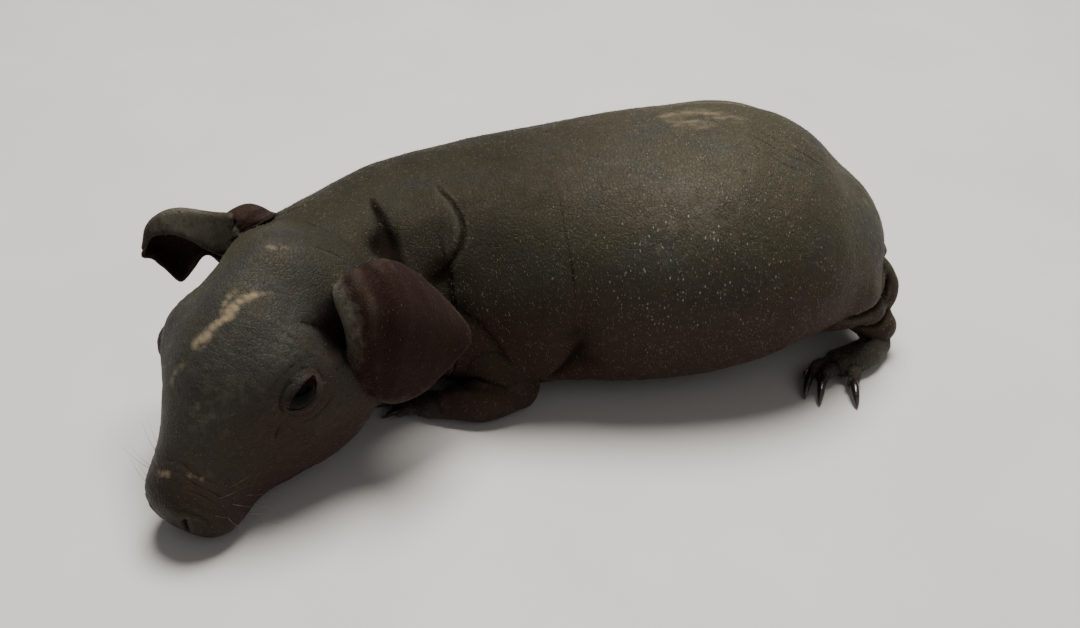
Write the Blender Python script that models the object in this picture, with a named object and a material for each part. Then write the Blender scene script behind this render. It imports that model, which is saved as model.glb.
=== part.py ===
"""A young skinny pig, the hairless guinea pig, lying at rest with its head turned to its left.

It is a still, life-size model. The floor is z = 0. The body lies along X with the head towards -X,
so that its left side faces -Y. The tables are in millimetres, and MM turns them into metres.
"""

import math

import bmesh
import bpy
import numpy as np
from mathutils import Matrix, Vector

MM = 0.001
GAP = 0.3

# Materials: linear colour, roughness
SKIN = ("skin", (0.035, 0.033, 0.028), 0.55)
EAR_SKIN = ("ear_skin", (0.030, 0.022, 0.021), 0.5)
EYE = ("eye", (0.008, 0.005, 0.004), 0.05)
CLAW = ("claw", (0.012, 0.010, 0.009), 0.22)

# Trunk and neck: one row a station, from the rump to inside the head.
# x, y and level place the widest point's middle; then half width, height above it and depth below it.
TRUNK = (
    (75.2, 18.8, 23.4, 20.0, 17.5, 14.0),
    (66, 18.5, 24.3, 22.6, 18.9, 16.2),
    (58.5, 18.0, 25.5, 26.0, 22.9, 17.3),
    (44, 17.0, 26.5, 30.0, 26.9, 24.4),
    (24, 15.5, 26, 31.5, 27.0, 27.5),
    (4, 14.0, 25, 29.5, 25.5, 26.5),
    (-14, 12.0, 24, 27.0, 24.0, 25.5),
    (-28, 8.0, 24, 24.5, 22.0, 24.0),
    (-37, 1.0, 25, 22.0, 19.8, 23.5),
    (-43, -7, 27, 19.5, 18.8, 23.0),
    (-45.5, -11, 27.5, 18.0, 18.4, 21.5),
)
RUMP_REACH, RUMP_POWER = 25.0, 2.3
# Where the trunk is parted, as a share of its length from the rump
PARTINGS = {"rump": (0, 0.32), "abdomen": (0.32, 0.562), "chest": (0.562, 0.762), "neck": (0.762, 1)}

# Head: x runs forward from the nape; then half width, top, widest level, bottom and the crown's fullness.
HEAD = (
    (-8, 12.5, 8.8, -1.0, -15.0, 1.9),
    (0, 16.2, 17.3, -1.0, -18.6, 1.75),
    (9, 18.4, 19.9, -3.0, -21.5, 1.62),
    (18, 19.9, 20.5, -4.5, -22.5, 1.76),
    (26, 18.2, 19.2, -5.0, -21.0, 1.9),
    (34, 13.8, 16.1, -4.5, -17.0, 1.85),
    (41, 10.2, 12.2, -4.0, -13.2, 1.88),
    (47, 9.0, 9.2, -3.6, -10.7, 2.1),
    (53.8, 9.6, 6.8, -3.3, -8.8, 2.2),
)
MUZZLE_REACH, MUZZLE_POWER = 8.0, 2.6
HEAD_ORIGIN = (-45.6, -11.8, 34.4)
HEAD_YAW, HEAD_PITCH, HEAD_ROLL = 240.6, 31.0, 0.0
# Swellings and hollows of the head: middle, reach along x, y and z, and height; those off the midline come in pairs.
HEAD_FORMS = (
    (21.0, 13.5, 13.0, 7.5, 5.0, 3.2, 1.5),
    (23.5, 17.5, 2.0, 6.5, 5.0, 3.2, -0.9),
    (14.0, 18.5, -9.0, 9.0, 7.0, 8.0, 1.4),
    (8.5, 17.0, 7.0, 4.5, 6.0, 4.5, -2.0),
    (32.5, 13.0, 2.0, 6.0, 5.0, 5.0, -0.8),
    (47.5, 9.0, -3.0, 5.0, 5.0, 4.5, 0.5),
    (47.0, 0.0, -12.0, 4.0, 5.0, 3.0, 0.6),
    (37.0, 0.0, 15.0, 6.0, 7.0, 4.0, -0.5),
    (51.0, 0.0, 4.0, 3.5, 5.0, 3.0, 0.6),
)

EYE_CENTRE = (22.8, 13.6, 6.5)
EYE_RADIUS = 4.2
LID_THICKNESS = 0.7
# Direction that the eye looks in, and the half length and half height of the opening between the lids
EYE_FACING = (0.30, 0.86, 0.41)
EYE_OPENING = (3.9, 2.1)

# Mouth, nostrils and groove of the upper lip: places on the muzzle's surface as (x, angle around it from the
# left side), then how deep the middle line lies, and the radius
MOUTH = ((43.0, -28, 0.1, 0.4), (47.5, -40, 0.1, 0.5), (50.6, -62, 0.1, 0.55), (51.3, -90, 0.1, 0.55),
         (50.6, -118, 0.1, 0.55), (47.5, -140, 0.1, 0.5), (43.0, -152, 0.1, 0.4))
NOSTRIL = ((53.5, 66, 1.2, 0.9), (53.2, 58, 0.3, 0.7), (52.8, 45, 0.1, 0.5), (52.2, 34, 0.1, 0.3))
LIP_GROOVE = ((53.79, -80, 0.0, 0.3), (53.0, -90, 0.1, 0.4), (51.5, -90, 0.1, 0.4))

# Ears: rows from the root to the tip, each from the front edge, which curls back, over the crest to the rear edge
EARS = {
    "left": (
        ((-37.7, -22.0, 37.2), (-37.8, -22.5, 39.0), (-35.8, -20.0, 39.1), (-32.0, -17.0, 38.4),
         (-27.4, -14.0, 36.4), (-23.2, -11.0, 31.4)),
        ((-36.8, -26.0, 38.9), (-37.6, -27.5, 41.1), (-34.7, -26.5, 45.3), (-30.5, -24.0, 46.1),
         (-26.2, -20.5, 42.9), (-22.5, -16.5, 36.9)),
        ((-34.8, -28.5, 33.5), (-35.6, -31.5, 37.4), (-30.5, -33.0, 41.6), (-25.6, -29.5, 40.0),
         (-20.6, -24.5, 36.0), (-16.2, -18.5, 30.9)),
        ((-34.0, -29.0, 26.3), (-35.0, -32.0, 30.1), (-29.9, -34.0, 33.5), (-25.2, -31.5, 31.3),
         (-19.7, -27.0, 28.1), (-13.7, -20.5, 25.6)),
        ((-32.5, -29.0, 20.4), (-33.3, -31.0, 22.0), (-30.4, -32.5, 20.0), (-27.2, -31.0, 18.5),
         (-23.0, -28.6, 18.9), (-19.3, -25.7, 20.9)),
    ),
    "right": (
        ((-62.1, -10.5, 39.2), (-59.6, -10.0, 47.4), (-60.4, -6.0, 40.3), (-63.7, -7.0, 35.0)),
        ((-64.2, -12.0, 41.1), (-63.4, -12.0, 49.3), (-65.9, -7.5, 41.5), (-66.4, -8.5, 37.9)),
        ((-67.6, -13.5, 44.8), (-67.8, -11.5, 49.8), (-70.9, -6.5, 38.2), (-71.6, -9.0, 32.0)),
        ((-71.4, -13.0, 45.7), (-71.9, -11.0, 48.9), (-74.8, -7.0, 39.5), (-74.9, -9.0, 35.1)),
        ((-75.0, -12.0, 44.3), (-75.7, -10.5, 45.7), (-77.0, -8.5, 40.5), (-76.6, -9.5, 37.4)),
        ((-77.4, -10.5, 40.1), (-77.8, -10.0, 40.5), (-78.3, -9.5, 39.0), (-78.6, -9.5, 37.8)),
    ),
}
EAR_THICKNESS = 1.1
# The fold of skin behind the right ear's root, and the skin that fills in below it
EAR_FOLDS = (
    ((-60.8, -8.4, 44.2, 2.6, 2.6), (-57.4, -4.2, 43.8, 2.9, 2.7), (-54.0, -1.6, 41.2, 2.0, 1.8)),
    ((-61.0, -9.0, 40.4, 2.0, 2.6), (-57.6, -6.6, 40.6, 2.6, 3.2), (-53.8, -4.2, 40.4, 2.4, 2.6)),
)

# Limbs: each of two or three rods, as points of the middle line, then half width and half height; a thigh's
# second rod is the fold of skin behind it
LIMBS = {
    "foreleg_left": (
        ((-12.5, -3.5, 20, 10, 10.5), (-9, -7.2, 12.5, 8, 8.2), (-6.5, -9.7, 7.5, 6.2, 6.2)),
        ((-5.5, -10.5, 6.2, 5.4, 5.6), (-12, -13.4, 4.8, 4.9, 4.9), (-18.6, -13.8, 3.8, 3.4, 3.4)),
    ),
    "foreleg_right": (
        ((-14.5, 27, 20, 10, 11), (-11, 31.5, 12.5, 8, 8.5), (-8.5, 34, 7.5, 6, 6)),
        ((-8.5, 34.5, 6, 5, 5.2), (-15, 35.2, 4.6, 4.6, 4.6), (-22.4, 35.2, 3.7, 3.3, 3.3)),
    ),
    "thigh_left": (
        ((50, 7, 19, 11, 11), (62, 9.5, 15.5, 9, 8.2), (70.3, 11, 12, 6.6, 5.8), (75.3, 9.8, 6.6, 4, 4.2)),
        ((60.5, 8.5, 10.2, 1.2, 0.9), (68.6, 9.2, 9.4, 1.9, 1.5), (73, 9.6, 10.0, 2.3, 1.9),
         (76.0, 11.0, 12.5, 2.4, 2.0), (76.8, 12.2, 17, 2.2, 1.8), (72.0, 13.5, 24.5, 1.4, 1.2)),
        ((65.0, 12.5, 22, 8, 7), (71.0, 12.2, 17, 5.2, 5), (73.4, 11.2, 11, 3.2, 3.4)),
    ),
    "thigh_right": (
        ((50, 30, 19, 11, 11), (62, 27.5, 15.5, 9, 8.2), (70.3, 26, 12, 6.6, 5.8), (75.3, 27.2, 6.6, 4, 4.2)),
        ((60.5, 28.5, 10.2, 1.2, 0.9), (68.6, 27.8, 9.4, 1.9, 1.5), (73, 27.4, 10.0, 2.3, 1.9),
         (76.0, 26.0, 12.5, 2.4, 2.0), (76.8, 24.8, 17, 2.2, 1.8), (72.0, 23.5, 24.5, 1.4, 1.2)),
        ((65.0, 24.5, 22, 8, 7), (71.0, 24.8, 17, 5.2, 5), (73.4, 25.8, 11, 3.2, 3.4)),
    ),
}
FEET = {
    "forefoot_left": ((-18.8, -13.8, 3.4, 3.1, 3.0), (-22, -12.9, 2.8, 3.4, 2.4), (-24.9, -11.9, 2.4, 3.4, 2.0)),
    "forefoot_right": ((-22.6, 35.2, 3.4, 3.1, 3.0), (-26.5, 35.4, 2.8, 3.4, 2.4), (-30, 35.8, 2.4, 3.4, 2.0)),
    "hindfoot_left": ((75.7, 7.6, 3.2, 2.6, 3.0), (71.5, 3.8, 3.2, 3.5, 2.9), (65.8, 0.8, 3.0, 3.9, 2.6)),
    "hindfoot_right": ((75.7, 29.4, 3.2, 2.6, 3.0), (71.5, 33.2, 3.2, 3.5, 2.9), (65.8, 36.2, 3.0, 3.9, 2.6)),
}
# Toes of each foot: root, knuckle and end, then the claw's tip
TOE_WIDTH = {"forefoot": 1.15, "hindfoot": 1.45}
TOES = {
    "forefoot_left": (
        ((-25.1, -13.9, 2.2), (-27.9, -14.3, 2.6), (-29.6, -14.4, 1.9), (-33.3, -14.6, 0.5)),
        ((-25.9, -12.4, 2.3), (-28.8, -12.0, 2.8), (-30.7, -11.7, 2.0), (-34.9, -11.0, 0.5)),
        ((-25.7, -10.8, 2.3), (-28.3, -9.8, 2.8), (-30.2, -9.1, 2.0), (-34.2, -7.7, 0.5)),
        ((-24.8, -9.8, 2.2), (-26.9, -8.4, 2.6), (-28.4, -7.4, 1.9), (-31.6, -5.4, 0.5)),
    ),
    "forefoot_right": (
        ((-30.2, 38.4, 2.2), (-32.0, 39.7, 2.6), (-33.4, 40.6, 1.9), (-36.8, 42.8, 0.5)),
        ((-31.2, 37.0, 2.3), (-34.0, 37.7, 2.8), (-35.9, 38.2, 2.0), (-40.2, 39.4, 0.5)),
        ((-31.4, 35.5, 2.3), (-34.2, 35.4, 2.8), (-36.2, 35.3, 2.0), (-40.7, 35.2, 0.5)),
        ((-30.8, 34.1, 2.2), (-33.2, 33.4, 2.6), (-34.8, 33.0, 1.9), (-38.5, 31.8, 0.5)),
    ),
    "hindfoot_left": (
        ((64.0, 1.6, 3.0), (60.6, -0.6, 3.4), (58.7, -2.2, 2.3), (56.9, -8.2, 0.5)),
        ((65.4, -0.6, 3.0), (62.6, -2.6, 3.5), (61.2, -4.0, 2.4), (59.7, -10.4, 0.5)),
        ((68.0, -0.6, 3.0), (68.2, -3.4, 3.4), (67.7, -5.2, 2.3), (67.6, -11.3, 0.5)),
    ),
    "hindfoot_right": (
        ((64.0, 35.2, 3.0), (60.6, 37.4, 3.4), (58.7, 39.0, 2.3), (56.9, 45.0, 0.5)),
        ((65.4, 37.4, 3.0), (62.6, 39.4, 3.5), (61.2, 40.8, 2.4), (59.7, 47.2, 0.5)),
        ((68.0, 37.4, 3.0), (68.2, 40.2, 3.4), (67.7, 42.0, 2.3), (67.6, 48.1, 0.5)),
    ),
}
CLAW_BASE = {"forefoot": 0.62, "hindfoot": 0.8}

TRUNK_SIDES = 32
HEAD_RINGS, HEAD_SIDES = 25, 34


def along(knots, rows, at):
    """A smooth curve through one row of values for each knot, read at the given places."""
    knots, rows, at = (np.asarray(v, float) for v in (knots, rows, at))
    slopes = np.gradient(rows, knots, axis=0)
    i = np.clip(np.searchsorted(knots, at, side="right") - 1, 0, len(knots) - 2)
    step = (knots[i + 1] - knots[i])[:, None]
    u = ((at - knots[i]) / step[:, 0])[:, None]
    return (
        (2 * u**3 - 3 * u**2 + 1) * rows[i]
        + (u**3 - 2 * u**2 + u) * step * slopes[i]
        + (3 * u**2 - 2 * u**3) * rows[i + 1]
        + (u**3 - u**2) * step * slopes[i + 1]
    )


def unit(v):
    v = np.asarray(v, float)
    return v / np.linalg.norm(v, axis=-1, keepdims=True)


def section(sides, width, top, bottom, top_power, bottom_power):
    """One closed section: (across, up) of each corner, anticlockwise from +across."""
    angle = np.arange(sides) * 2 * math.pi / sides
    c, s = np.cos(angle), np.sin(angle)
    power = np.where(s >= 0, top_power, bottom_power)
    across = width * np.sign(c) * np.abs(c) ** (2 / power)
    up = np.where(s >= 0, top, bottom) * np.sign(s) * np.abs(s) ** (2 / power)
    return across, up


def blunt_end(distance, reach, power):
    """Share of the full section at a distance from a closed, rounded end."""
    t = np.clip(np.asarray(distance, float) / reach, 0, 1)
    return (1 - (1 - t) ** power) ** (1 / power)


def end_places(reach, count):
    """Distances from a rounded end, close together near the end; the first is not quite zero."""
    turn = np.linspace(0, math.pi / 2, count + 1)[1:]
    return reach * (1 - np.cos(turn))


def trunk_grid(start, end, rings, sides=TRUNK_SIDES):
    """Rings of the trunk between two shares of its length; a start of 0 has the rump's round end."""
    rows = np.array(TRUNK, float)
    steps = np.linalg.norm(np.diff(rows[:, :2], axis=0), axis=1)
    knots = np.concatenate([[0], np.cumsum(steps)])
    length = knots[-1]
    places = np.linspace(start * length, end * length, rings)
    if start == 0:
        near = end_places(RUMP_REACH, rings // 2)
        places = np.concatenate([near, np.linspace(RUMP_REACH, end * length, rings - rings // 2 + 1)[1:]])
    values = along(knots, rows, places)
    heading = unit(
        along(knots, rows[:, :2], np.clip(places + 0.5, 0, length))
        - along(knots, rows[:, :2], np.clip(places - 0.5, 0, length))
    )
    grid = []
    for place, row, (hx, hy) in zip(places, values, heading):
        x, y, level, width, top, bottom = row
        k = blunt_end(place, RUMP_REACH, RUMP_POWER)
        across, up = section(sides, width * k, top * k, bottom * k, 2.1, 2.3)
        grid.append(np.stack([x - hy * across, y + hx * across, level + up], axis=1))
    return np.array(grid)


def with_forms(points):
    """Raises the head's swellings and sinks its hollows."""
    middle = np.stack([np.minimum(points[..., 0], 45), 0 * points[..., 0], 0 * points[..., 0] - 3], axis=-1)
    outward = unit(points - middle)
    moved = points.copy()
    for x, y, z, rx, ry, rz, height in HEAD_FORMS:
        for side in (1, -1) if y else (1,):
            share = (points - np.array([x, side * y, z])) / np.array([rx, ry, rz])
            moved += height * np.exp(-(share**2).sum(axis=-1))[..., None] * outward
    return moved


def head_surface(x, angle):
    """Points of the head's surface, in its own axes, at places along it and angles in radians around it."""
    rows = np.array(HEAD, float)
    x, angle = np.broadcast_arrays(np.asarray(x, float), np.asarray(angle, float))
    values = along(rows[:, 0], rows[:, 1:], x.ravel()).reshape(*x.shape, 5)
    width, top, level, bottom, fullness = np.moveaxis(values, -1, 0)
    k = blunt_end(rows[-1, 0] - x, MUZZLE_REACH, MUZZLE_POWER)
    c, s = np.cos(angle), np.sin(angle)
    power = 2 / np.where(s >= 0, fullness, 2.4)
    across = k * width * np.sign(c) * np.abs(c) ** power
    up = k * np.where(s >= 0, top - level, level - bottom) * np.sign(s) * np.abs(s) ** power
    return with_forms(np.stack([x, across, level + up], axis=-1))


def head_grid(rings=HEAD_RINGS, sides=HEAD_SIDES):
    first, last = HEAD[0][0], HEAD[-1][0]
    places = np.concatenate(
        [np.linspace(first, last - MUZZLE_REACH, rings), last - end_places(MUZZLE_REACH, 8)[::-1][1:]]
    )
    angle = np.arange(sides) * 2 * math.pi / sides
    return head_surface(places[:, None], angle[None, :])


def on_muzzle(rows, side=1):
    """Rod in world axes along places (x, angle in degrees, depth, radius) of the head's surface."""
    rows = np.array(rows, float)
    points = head_surface(rows[:, 0], np.radians(rows[:, 1]))
    centre = np.stack([np.minimum(rows[:, 0], 46), 0 * rows[:, 0], 0 * rows[:, 0] - 3], axis=-1)
    points -= unit(points - centre) * rows[:, 2:3]
    points[:, 1] *= side
    return np.concatenate([from_head(points), rows[:, 3:4], rows[:, 3:4]], axis=1)


def head_matrix():
    turn = (
        Matrix.Rotation(math.radians(HEAD_YAW), 4, "Z")
        @ Matrix.Rotation(math.radians(HEAD_PITCH), 4, "Y")
        @ Matrix.Rotation(math.radians(HEAD_ROLL), 4, "X")
    )
    return np.array(Matrix.Translation(Vector(HEAD_ORIGIN)) @ turn)


def from_head(points):
    matrix = head_matrix()
    points = np.asarray(points, float)
    return points @ matrix[:3, :3].T + matrix[:3, 3]


def ear_sheet(side, rows=10, columns=11):
    """Middle sheet of one ear in world axes, as a grid of points."""
    net = np.array(EARS[side], float)
    count, width, _ = net.shape
    places = np.linspace(0, count - 1, rows)
    lines = along(np.arange(count), net.reshape(count, -1), places).reshape(rows, width, 3)
    lines = np.moveaxis(lines, 1, 0).reshape(width, -1)
    sheet = along(np.arange(width), lines, np.linspace(0, width - 1, columns))
    return np.moveaxis(sheet.reshape(columns, rows, 3), 0, 1)


def sheet_normals(points):
    du = np.gradient(points, axis=1)
    dv = np.gradient(points, axis=0)
    return unit(np.cross(dv, du))


def grid_faces(rings, sides):
    """Quads of a closed tube of rings, each ring anticlockwise seen from ahead, with a pole at either end."""
    faces = []
    for r in range(rings - 1):
        for s in range(sides):
            t = (s + 1) % sides
            faces.append((r * sides + s, r * sides + t, (r + 1) * sides + t, (r + 1) * sides + s))
    start, end = rings * sides, rings * sides + 1
    for s in range(sides):
        t = (s + 1) % sides
        faces.append((start, t, s))
        faces.append((end, (rings - 1) * sides + s, (rings - 1) * sides + t))
    return faces


def make_object(name, points, faces):
    mesh = bpy.data.meshes.new(name)
    mesh.from_pydata((np.asarray(points) * MM).tolist(), [], faces)
    work = bmesh.new()
    work.from_mesh(mesh)
    bmesh.ops.recalc_face_normals(work, faces=work.faces[:])
    bmesh.ops.triangulate(work, faces=work.faces[:])
    work.to_mesh(mesh)
    work.free()
    obj = bpy.data.objects.new(name, mesh)
    bpy.context.scene.collection.objects.link(obj)
    return obj


def tube(name, grid):
    rings, sides, _ = grid.shape
    points = np.concatenate([grid.reshape(-1, 3), [grid[0].mean(axis=0), grid[-1].mean(axis=0)]])
    return make_object(name, points, grid_faces(rings, sides))


def sweep_grid(points, rings=10, sides=12, start_round=True, end_round=True, caps=3):
    """Elliptical rings along a line of (x, y, z, half width, half height), with rounded ends."""
    rows = np.array(points, float)
    knots = np.concatenate([[0], np.cumsum(np.linalg.norm(np.diff(rows[:, :3], axis=0), axis=1))])
    places = np.linspace(0, knots[-1], rings)
    values = along(knots, rows, places)
    centres, sizes = values[:, :3], values[:, 3:]
    tangent = unit(np.gradient(centres, places, axis=0))
    shrink = np.ones(rings)
    turn = np.linspace(0, math.pi / 2, caps + 2)[1:-1]
    if end_round:
        reach = min(sizes[-1])
        centres = np.concatenate([centres, centres[-1] + tangent[-1] * reach * np.sin(turn)[:, None]])
        sizes = np.concatenate([sizes, sizes[-1] * np.cos(turn)[:, None]])
        tangent = np.concatenate([tangent, np.repeat(tangent[-1:], caps, axis=0)])
    if start_round:
        reach = min(sizes[0])
        turn = turn[::-1]
        centres = np.concatenate([centres[0] - tangent[0] * reach * np.sin(turn)[:, None], centres])
        sizes = np.concatenate([sizes[0] * np.cos(turn)[:, None], sizes])
        tangent = np.concatenate([np.repeat(tangent[:1], caps, axis=0), tangent])
    up = np.array([0, 0, 1.0])
    side = unit(np.cross(up, tangent) + 1e-6)
    top = np.cross(tangent, side)
    angle = np.arange(sides) * 2 * math.pi / sides
    return (
        centres[:, None]
        + side[:, None] * (sizes[:, :1] * np.cos(angle))[..., None]
        + top[:, None] * (sizes[:, 1:2] * np.sin(angle))[..., None]
    )


def sheet_object(name, middle, thickness):
    """A closed sheet around a grid of points, with the same triangles on both faces and a rounded edge."""
    rows, cols, _ = middle.shape
    normal = sheet_normals(middle)
    outer = middle + normal * thickness / 2
    inner = middle - normal * thickness / 2
    points = np.concatenate([outer.reshape(-1, 3), inner.reshape(-1, 3)])
    half = rows * cols
    faces = []
    for r in range(rows - 1):
        for c in range(cols - 1):
            i, j, k, m = r * cols + c, r * cols + c + 1, (r + 1) * cols + c + 1, (r + 1) * cols + c
            faces += [(i, j, k), (i, k, m)]
            faces += [(half + i, half + k, half + j), (half + i, half + m, half + k)]
    ring = [(0, c) for c in range(cols)] + [(r, cols - 1) for r in range(1, rows)]
    ring += [(rows - 1, c) for c in range(cols - 2, -1, -1)] + [(r, 0) for r in range(rows - 2, 0, -1)]
    ring = [r * cols + c for r, c in ring]
    centre = middle.reshape(-1, 3)
    extra = []
    for n, i in enumerate(ring):
        before, after = centre[ring[n - 1]], centre[ring[(n + 1) % len(ring)]]
        outward = np.cross(after - before, normal.reshape(-1, 3)[i])
        outward = unit(outward)
        r, c = divmod(i, cols)
        inside = centre[min(max(r, 1), rows - 2) * cols + min(max(c, 1), cols - 2)]
        if np.dot(outward, centre[i] - inside) < 0:
            outward = -outward
        extra.append(centre[i] + outward * thickness * 0.45)
    points = np.concatenate([points, extra])
    base = 2 * half
    count = len(ring)
    for n in range(count):
        m = (n + 1) % count
        faces += [(ring[n], ring[m], base + m, base + n)]
        faces += [(base + n, base + m, half + ring[m], half + ring[n])]
    return make_object(name, points, faces)


def boolean(target, tool, operation="DIFFERENCE"):
    """Applies a Boolean and removes the tool."""
    modifier = target.modifiers.new(operation.lower(), "BOOLEAN")
    modifier.operation = operation
    modifier.object = tool
    modifier.solver = "EXACT"
    graph = bpy.context.evaluated_depsgraph_get()
    mesh = bpy.data.meshes.new_from_object(target.evaluated_get(graph))
    target.modifiers.clear()
    target.data = mesh
    bpy.data.objects.remove(tool)


def inflated(source, amount=GAP):
    """A copy of an object grown outwards, to cut its neighbour with a gap."""
    mesh = source.data.copy()
    normals = np.array([v.normal for v in mesh.vertices])
    for vertex, normal in zip(mesh.vertices, normals):
        vertex.co += Vector(normal * amount * MM)
    obj = bpy.data.objects.new(source.name + "_grown", mesh)
    bpy.context.scene.collection.objects.link(obj)
    return obj


def keep_largest(obj):
    """Welds stray doubles and keeps only the largest closed surface."""
    work = bmesh.new()
    work.from_mesh(obj.data)
    bmesh.ops.remove_doubles(work, verts=work.verts[:], dist=0.00002)
    bmesh.ops.dissolve_degenerate(work, edges=work.edges[:], dist=0.00001)
    unseen = set(work.verts)
    pieces = []
    while unseen:
        stack, piece = [unseen.pop()], []
        while stack:
            vertex = stack.pop()
            piece.append(vertex)
            for edge in vertex.link_edges:
                other = edge.other_vert(vertex)
                if other in unseen:
                    unseen.remove(other)
                    stack.append(other)
        pieces.append(piece)
    pieces.sort(key=len)
    for piece in pieces[:-1]:
        bmesh.ops.delete(work, geom=piece, context="VERTS")
    bmesh.ops.triangulate(work, faces=work.faces[:])
    work.to_mesh(obj.data)
    work.free()


def floor_cutter():
    bpy.ops.mesh.primitive_cube_add(size=1, location=(0, 0.015, -0.02))
    box = bpy.context.object
    box.name = "floor_cutter"
    box.scale = (0.4, 0.3, 0.04)
    bpy.context.view_layer.update()
    return box


def cut_at_floor(obj):
    boolean(obj, floor_cutter())


def paint(obj, material):
    name, colour, roughness = material
    shade = bpy.data.materials.get(name)
    if shade is None:
        shade = bpy.data.materials.new(name)
        shade.use_nodes = True
        node = shade.node_tree.nodes["Principled BSDF"]
        node.inputs["Base Color"].default_value = (*colour, 1)
        node.inputs["Roughness"].default_value = roughness
        node.inputs["Metallic"].default_value = 0
    obj.data.materials.clear()
    obj.data.materials.append(shade)
    obj.data.polygons.foreach_set("use_smooth", [True] * len(obj.data.polygons))
    obj.data.set_sharp_from_angle(angle=math.radians(50))


def ball(name, centre, radius, sides=16, rings=9):
    turn = np.linspace(0, math.pi, rings + 2)[1:-1]
    angle = np.arange(sides) * 2 * math.pi / sides
    grid = np.stack(
        [
            np.cos(turn)[:, None] * np.ones(sides),
            np.sin(turn)[:, None] * np.cos(angle),
            np.sin(turn)[:, None] * np.sin(angle),
        ],
        axis=-1,
    )
    rings_, sides_, _ = grid.shape
    points = np.concatenate([grid.reshape(-1, 3), [[1, 0, 0], [-1, 0, 0]]]) * radius + centre
    return make_object(name, points, grid_faces(rings_, sides_))


def trunk_parts():
    parts = {}
    rows = np.array(TRUNK, float)
    length = np.linalg.norm(np.diff(rows[:, :2], axis=0), axis=1).sum()
    half = GAP / 2 / length
    rings = {"rump": 15, "abdomen": 9, "chest": 8, "neck": 11}
    for name, (start, end) in PARTINGS.items():
        first = start if start == 0 else start + half
        last = end if end == 1 else end - half
        obj = tube(name, trunk_grid(first, last, rings[name]))
        cut_at_floor(obj)
        parts[name] = obj
    return parts


def eye_axes(side):
    """The way the eye looks, and the opening's long and short directions, in the head's axes."""
    look = unit([EYE_FACING[0], side * EYE_FACING[1], EYE_FACING[2]])
    length = unit(np.cross(np.cross(look, [1.0, 0, 0.03]), look))
    return look, length, np.cross(look, length)


def eye_place(side):
    return np.array([EYE_CENTRE[0], side * EYE_CENTRE[1], EYE_CENTRE[2]])


def lid_opening(side, sides=14):
    """A lens-shaped rod that opens the lids, pointed at either end of the eye."""
    look, length, height = eye_axes(side)
    angle = np.arange(sides) * 2 * math.pi / sides
    a = EYE_OPENING[0] * np.cos(angle)
    b = EYE_OPENING[1] * np.sin(angle) * np.abs(np.sin(angle)) ** 0.35
    grid = []
    for reach, spread in ((0.5, 1.0), (3.5, 1.0), (8.0, 1.35)):
        grid.append(
            from_head(
                eye_place(side) + look * reach + a[:, None] * spread * length + b[:, None] * spread * height
            )
        )
    return tube("opening", np.array(grid))


def build_head():
    head = tube("head", from_head(head_grid()))
    for side in (1, -1):
        centre = from_head(eye_place(side))
        boolean(head, ball("lid", centre, EYE_RADIUS + LID_THICKNESS), "UNION")
        boolean(head, ball("socket", centre, EYE_RADIUS + GAP))
        boolean(head, lid_opening(side))
        boolean(head, tube("nostril", sweep_grid(on_muzzle(NOSTRIL, side), rings=6, sides=8, caps=1)))
    boolean(head, tube("mouth", sweep_grid(on_muzzle(MOUTH), rings=18, sides=8, caps=1)))
    boolean(head, tube("lip_groove", sweep_grid(on_muzzle(LIP_GROOVE), rings=5, sides=8, caps=1)))
    return head


def build_limb(name, rings=9):
    rods = [tube(name, sweep_grid(rod, rings=rings)) for rod in LIMBS[name]]
    for rod in rods[1:]:
        boolean(rods[0], rod, "UNION")
    cut_at_floor(rods[0])
    return rods[0]


def build_foot(name):
    kind = name.split("_")[0]
    foot = tube(name, sweep_grid(FEET[name], rings=6, sides=12))
    width = TOE_WIDTH[kind]
    claws = []
    for number, (root, knuckle, end, tip) in enumerate(TOES[name], 1):
        root, knuckle, end, tip = (np.array(p, float) for p in (root, knuckle, end, tip))
        rows = [(*root, width * 1.1, width), (*knuckle, width * 1.05, width), (*end, width * 0.85, width * 0.8)]
        toe = tube("toe", sweep_grid(rows, rings=5, sides=8, end_round=False, caps=2))
        boolean(foot, toe, "UNION")
        ahead = unit(tip - end)
        base = CLAW_BASE[kind]
        start = end - ahead * 0.8
        middle = (start + tip) / 2 + np.array([0, 0, 0.35 * np.linalg.norm(tip - start) * 0.28])
        near_tip = tip - ahead * 0.5
        rows = [
            (*start, base, base * 1.05), (*middle, base * 0.8, base * 0.85),
            (*near_tip, base * 0.32, base * 0.34), (*tip, base * 0.15, base * 0.16),
        ]
        claws.append(tube("%s_claw_%d" % (name, number), sweep_grid(rows, rings=6, sides=7, start_round=False, caps=1)))
    cut_at_floor(foot)
    for claw in claws:
        boolean(claw, inflated(foot))
        keep_largest(claw)
    return foot, claws


def settle():
    """Moves everything so that the origin is the middle of the part in plan, on the floor."""
    points = np.concatenate([np.array([v.co for v in o.data.vertices]) for o in bpy.data.objects])
    low, high = points.min(axis=0), points.max(axis=0)
    shift = Vector((-(low[0] + high[0]) / 2, -(low[1] + high[1]) / 2, -low[2]))
    for obj in bpy.data.objects:
        for vertex in obj.data.vertices:
            vertex.co += shift


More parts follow.
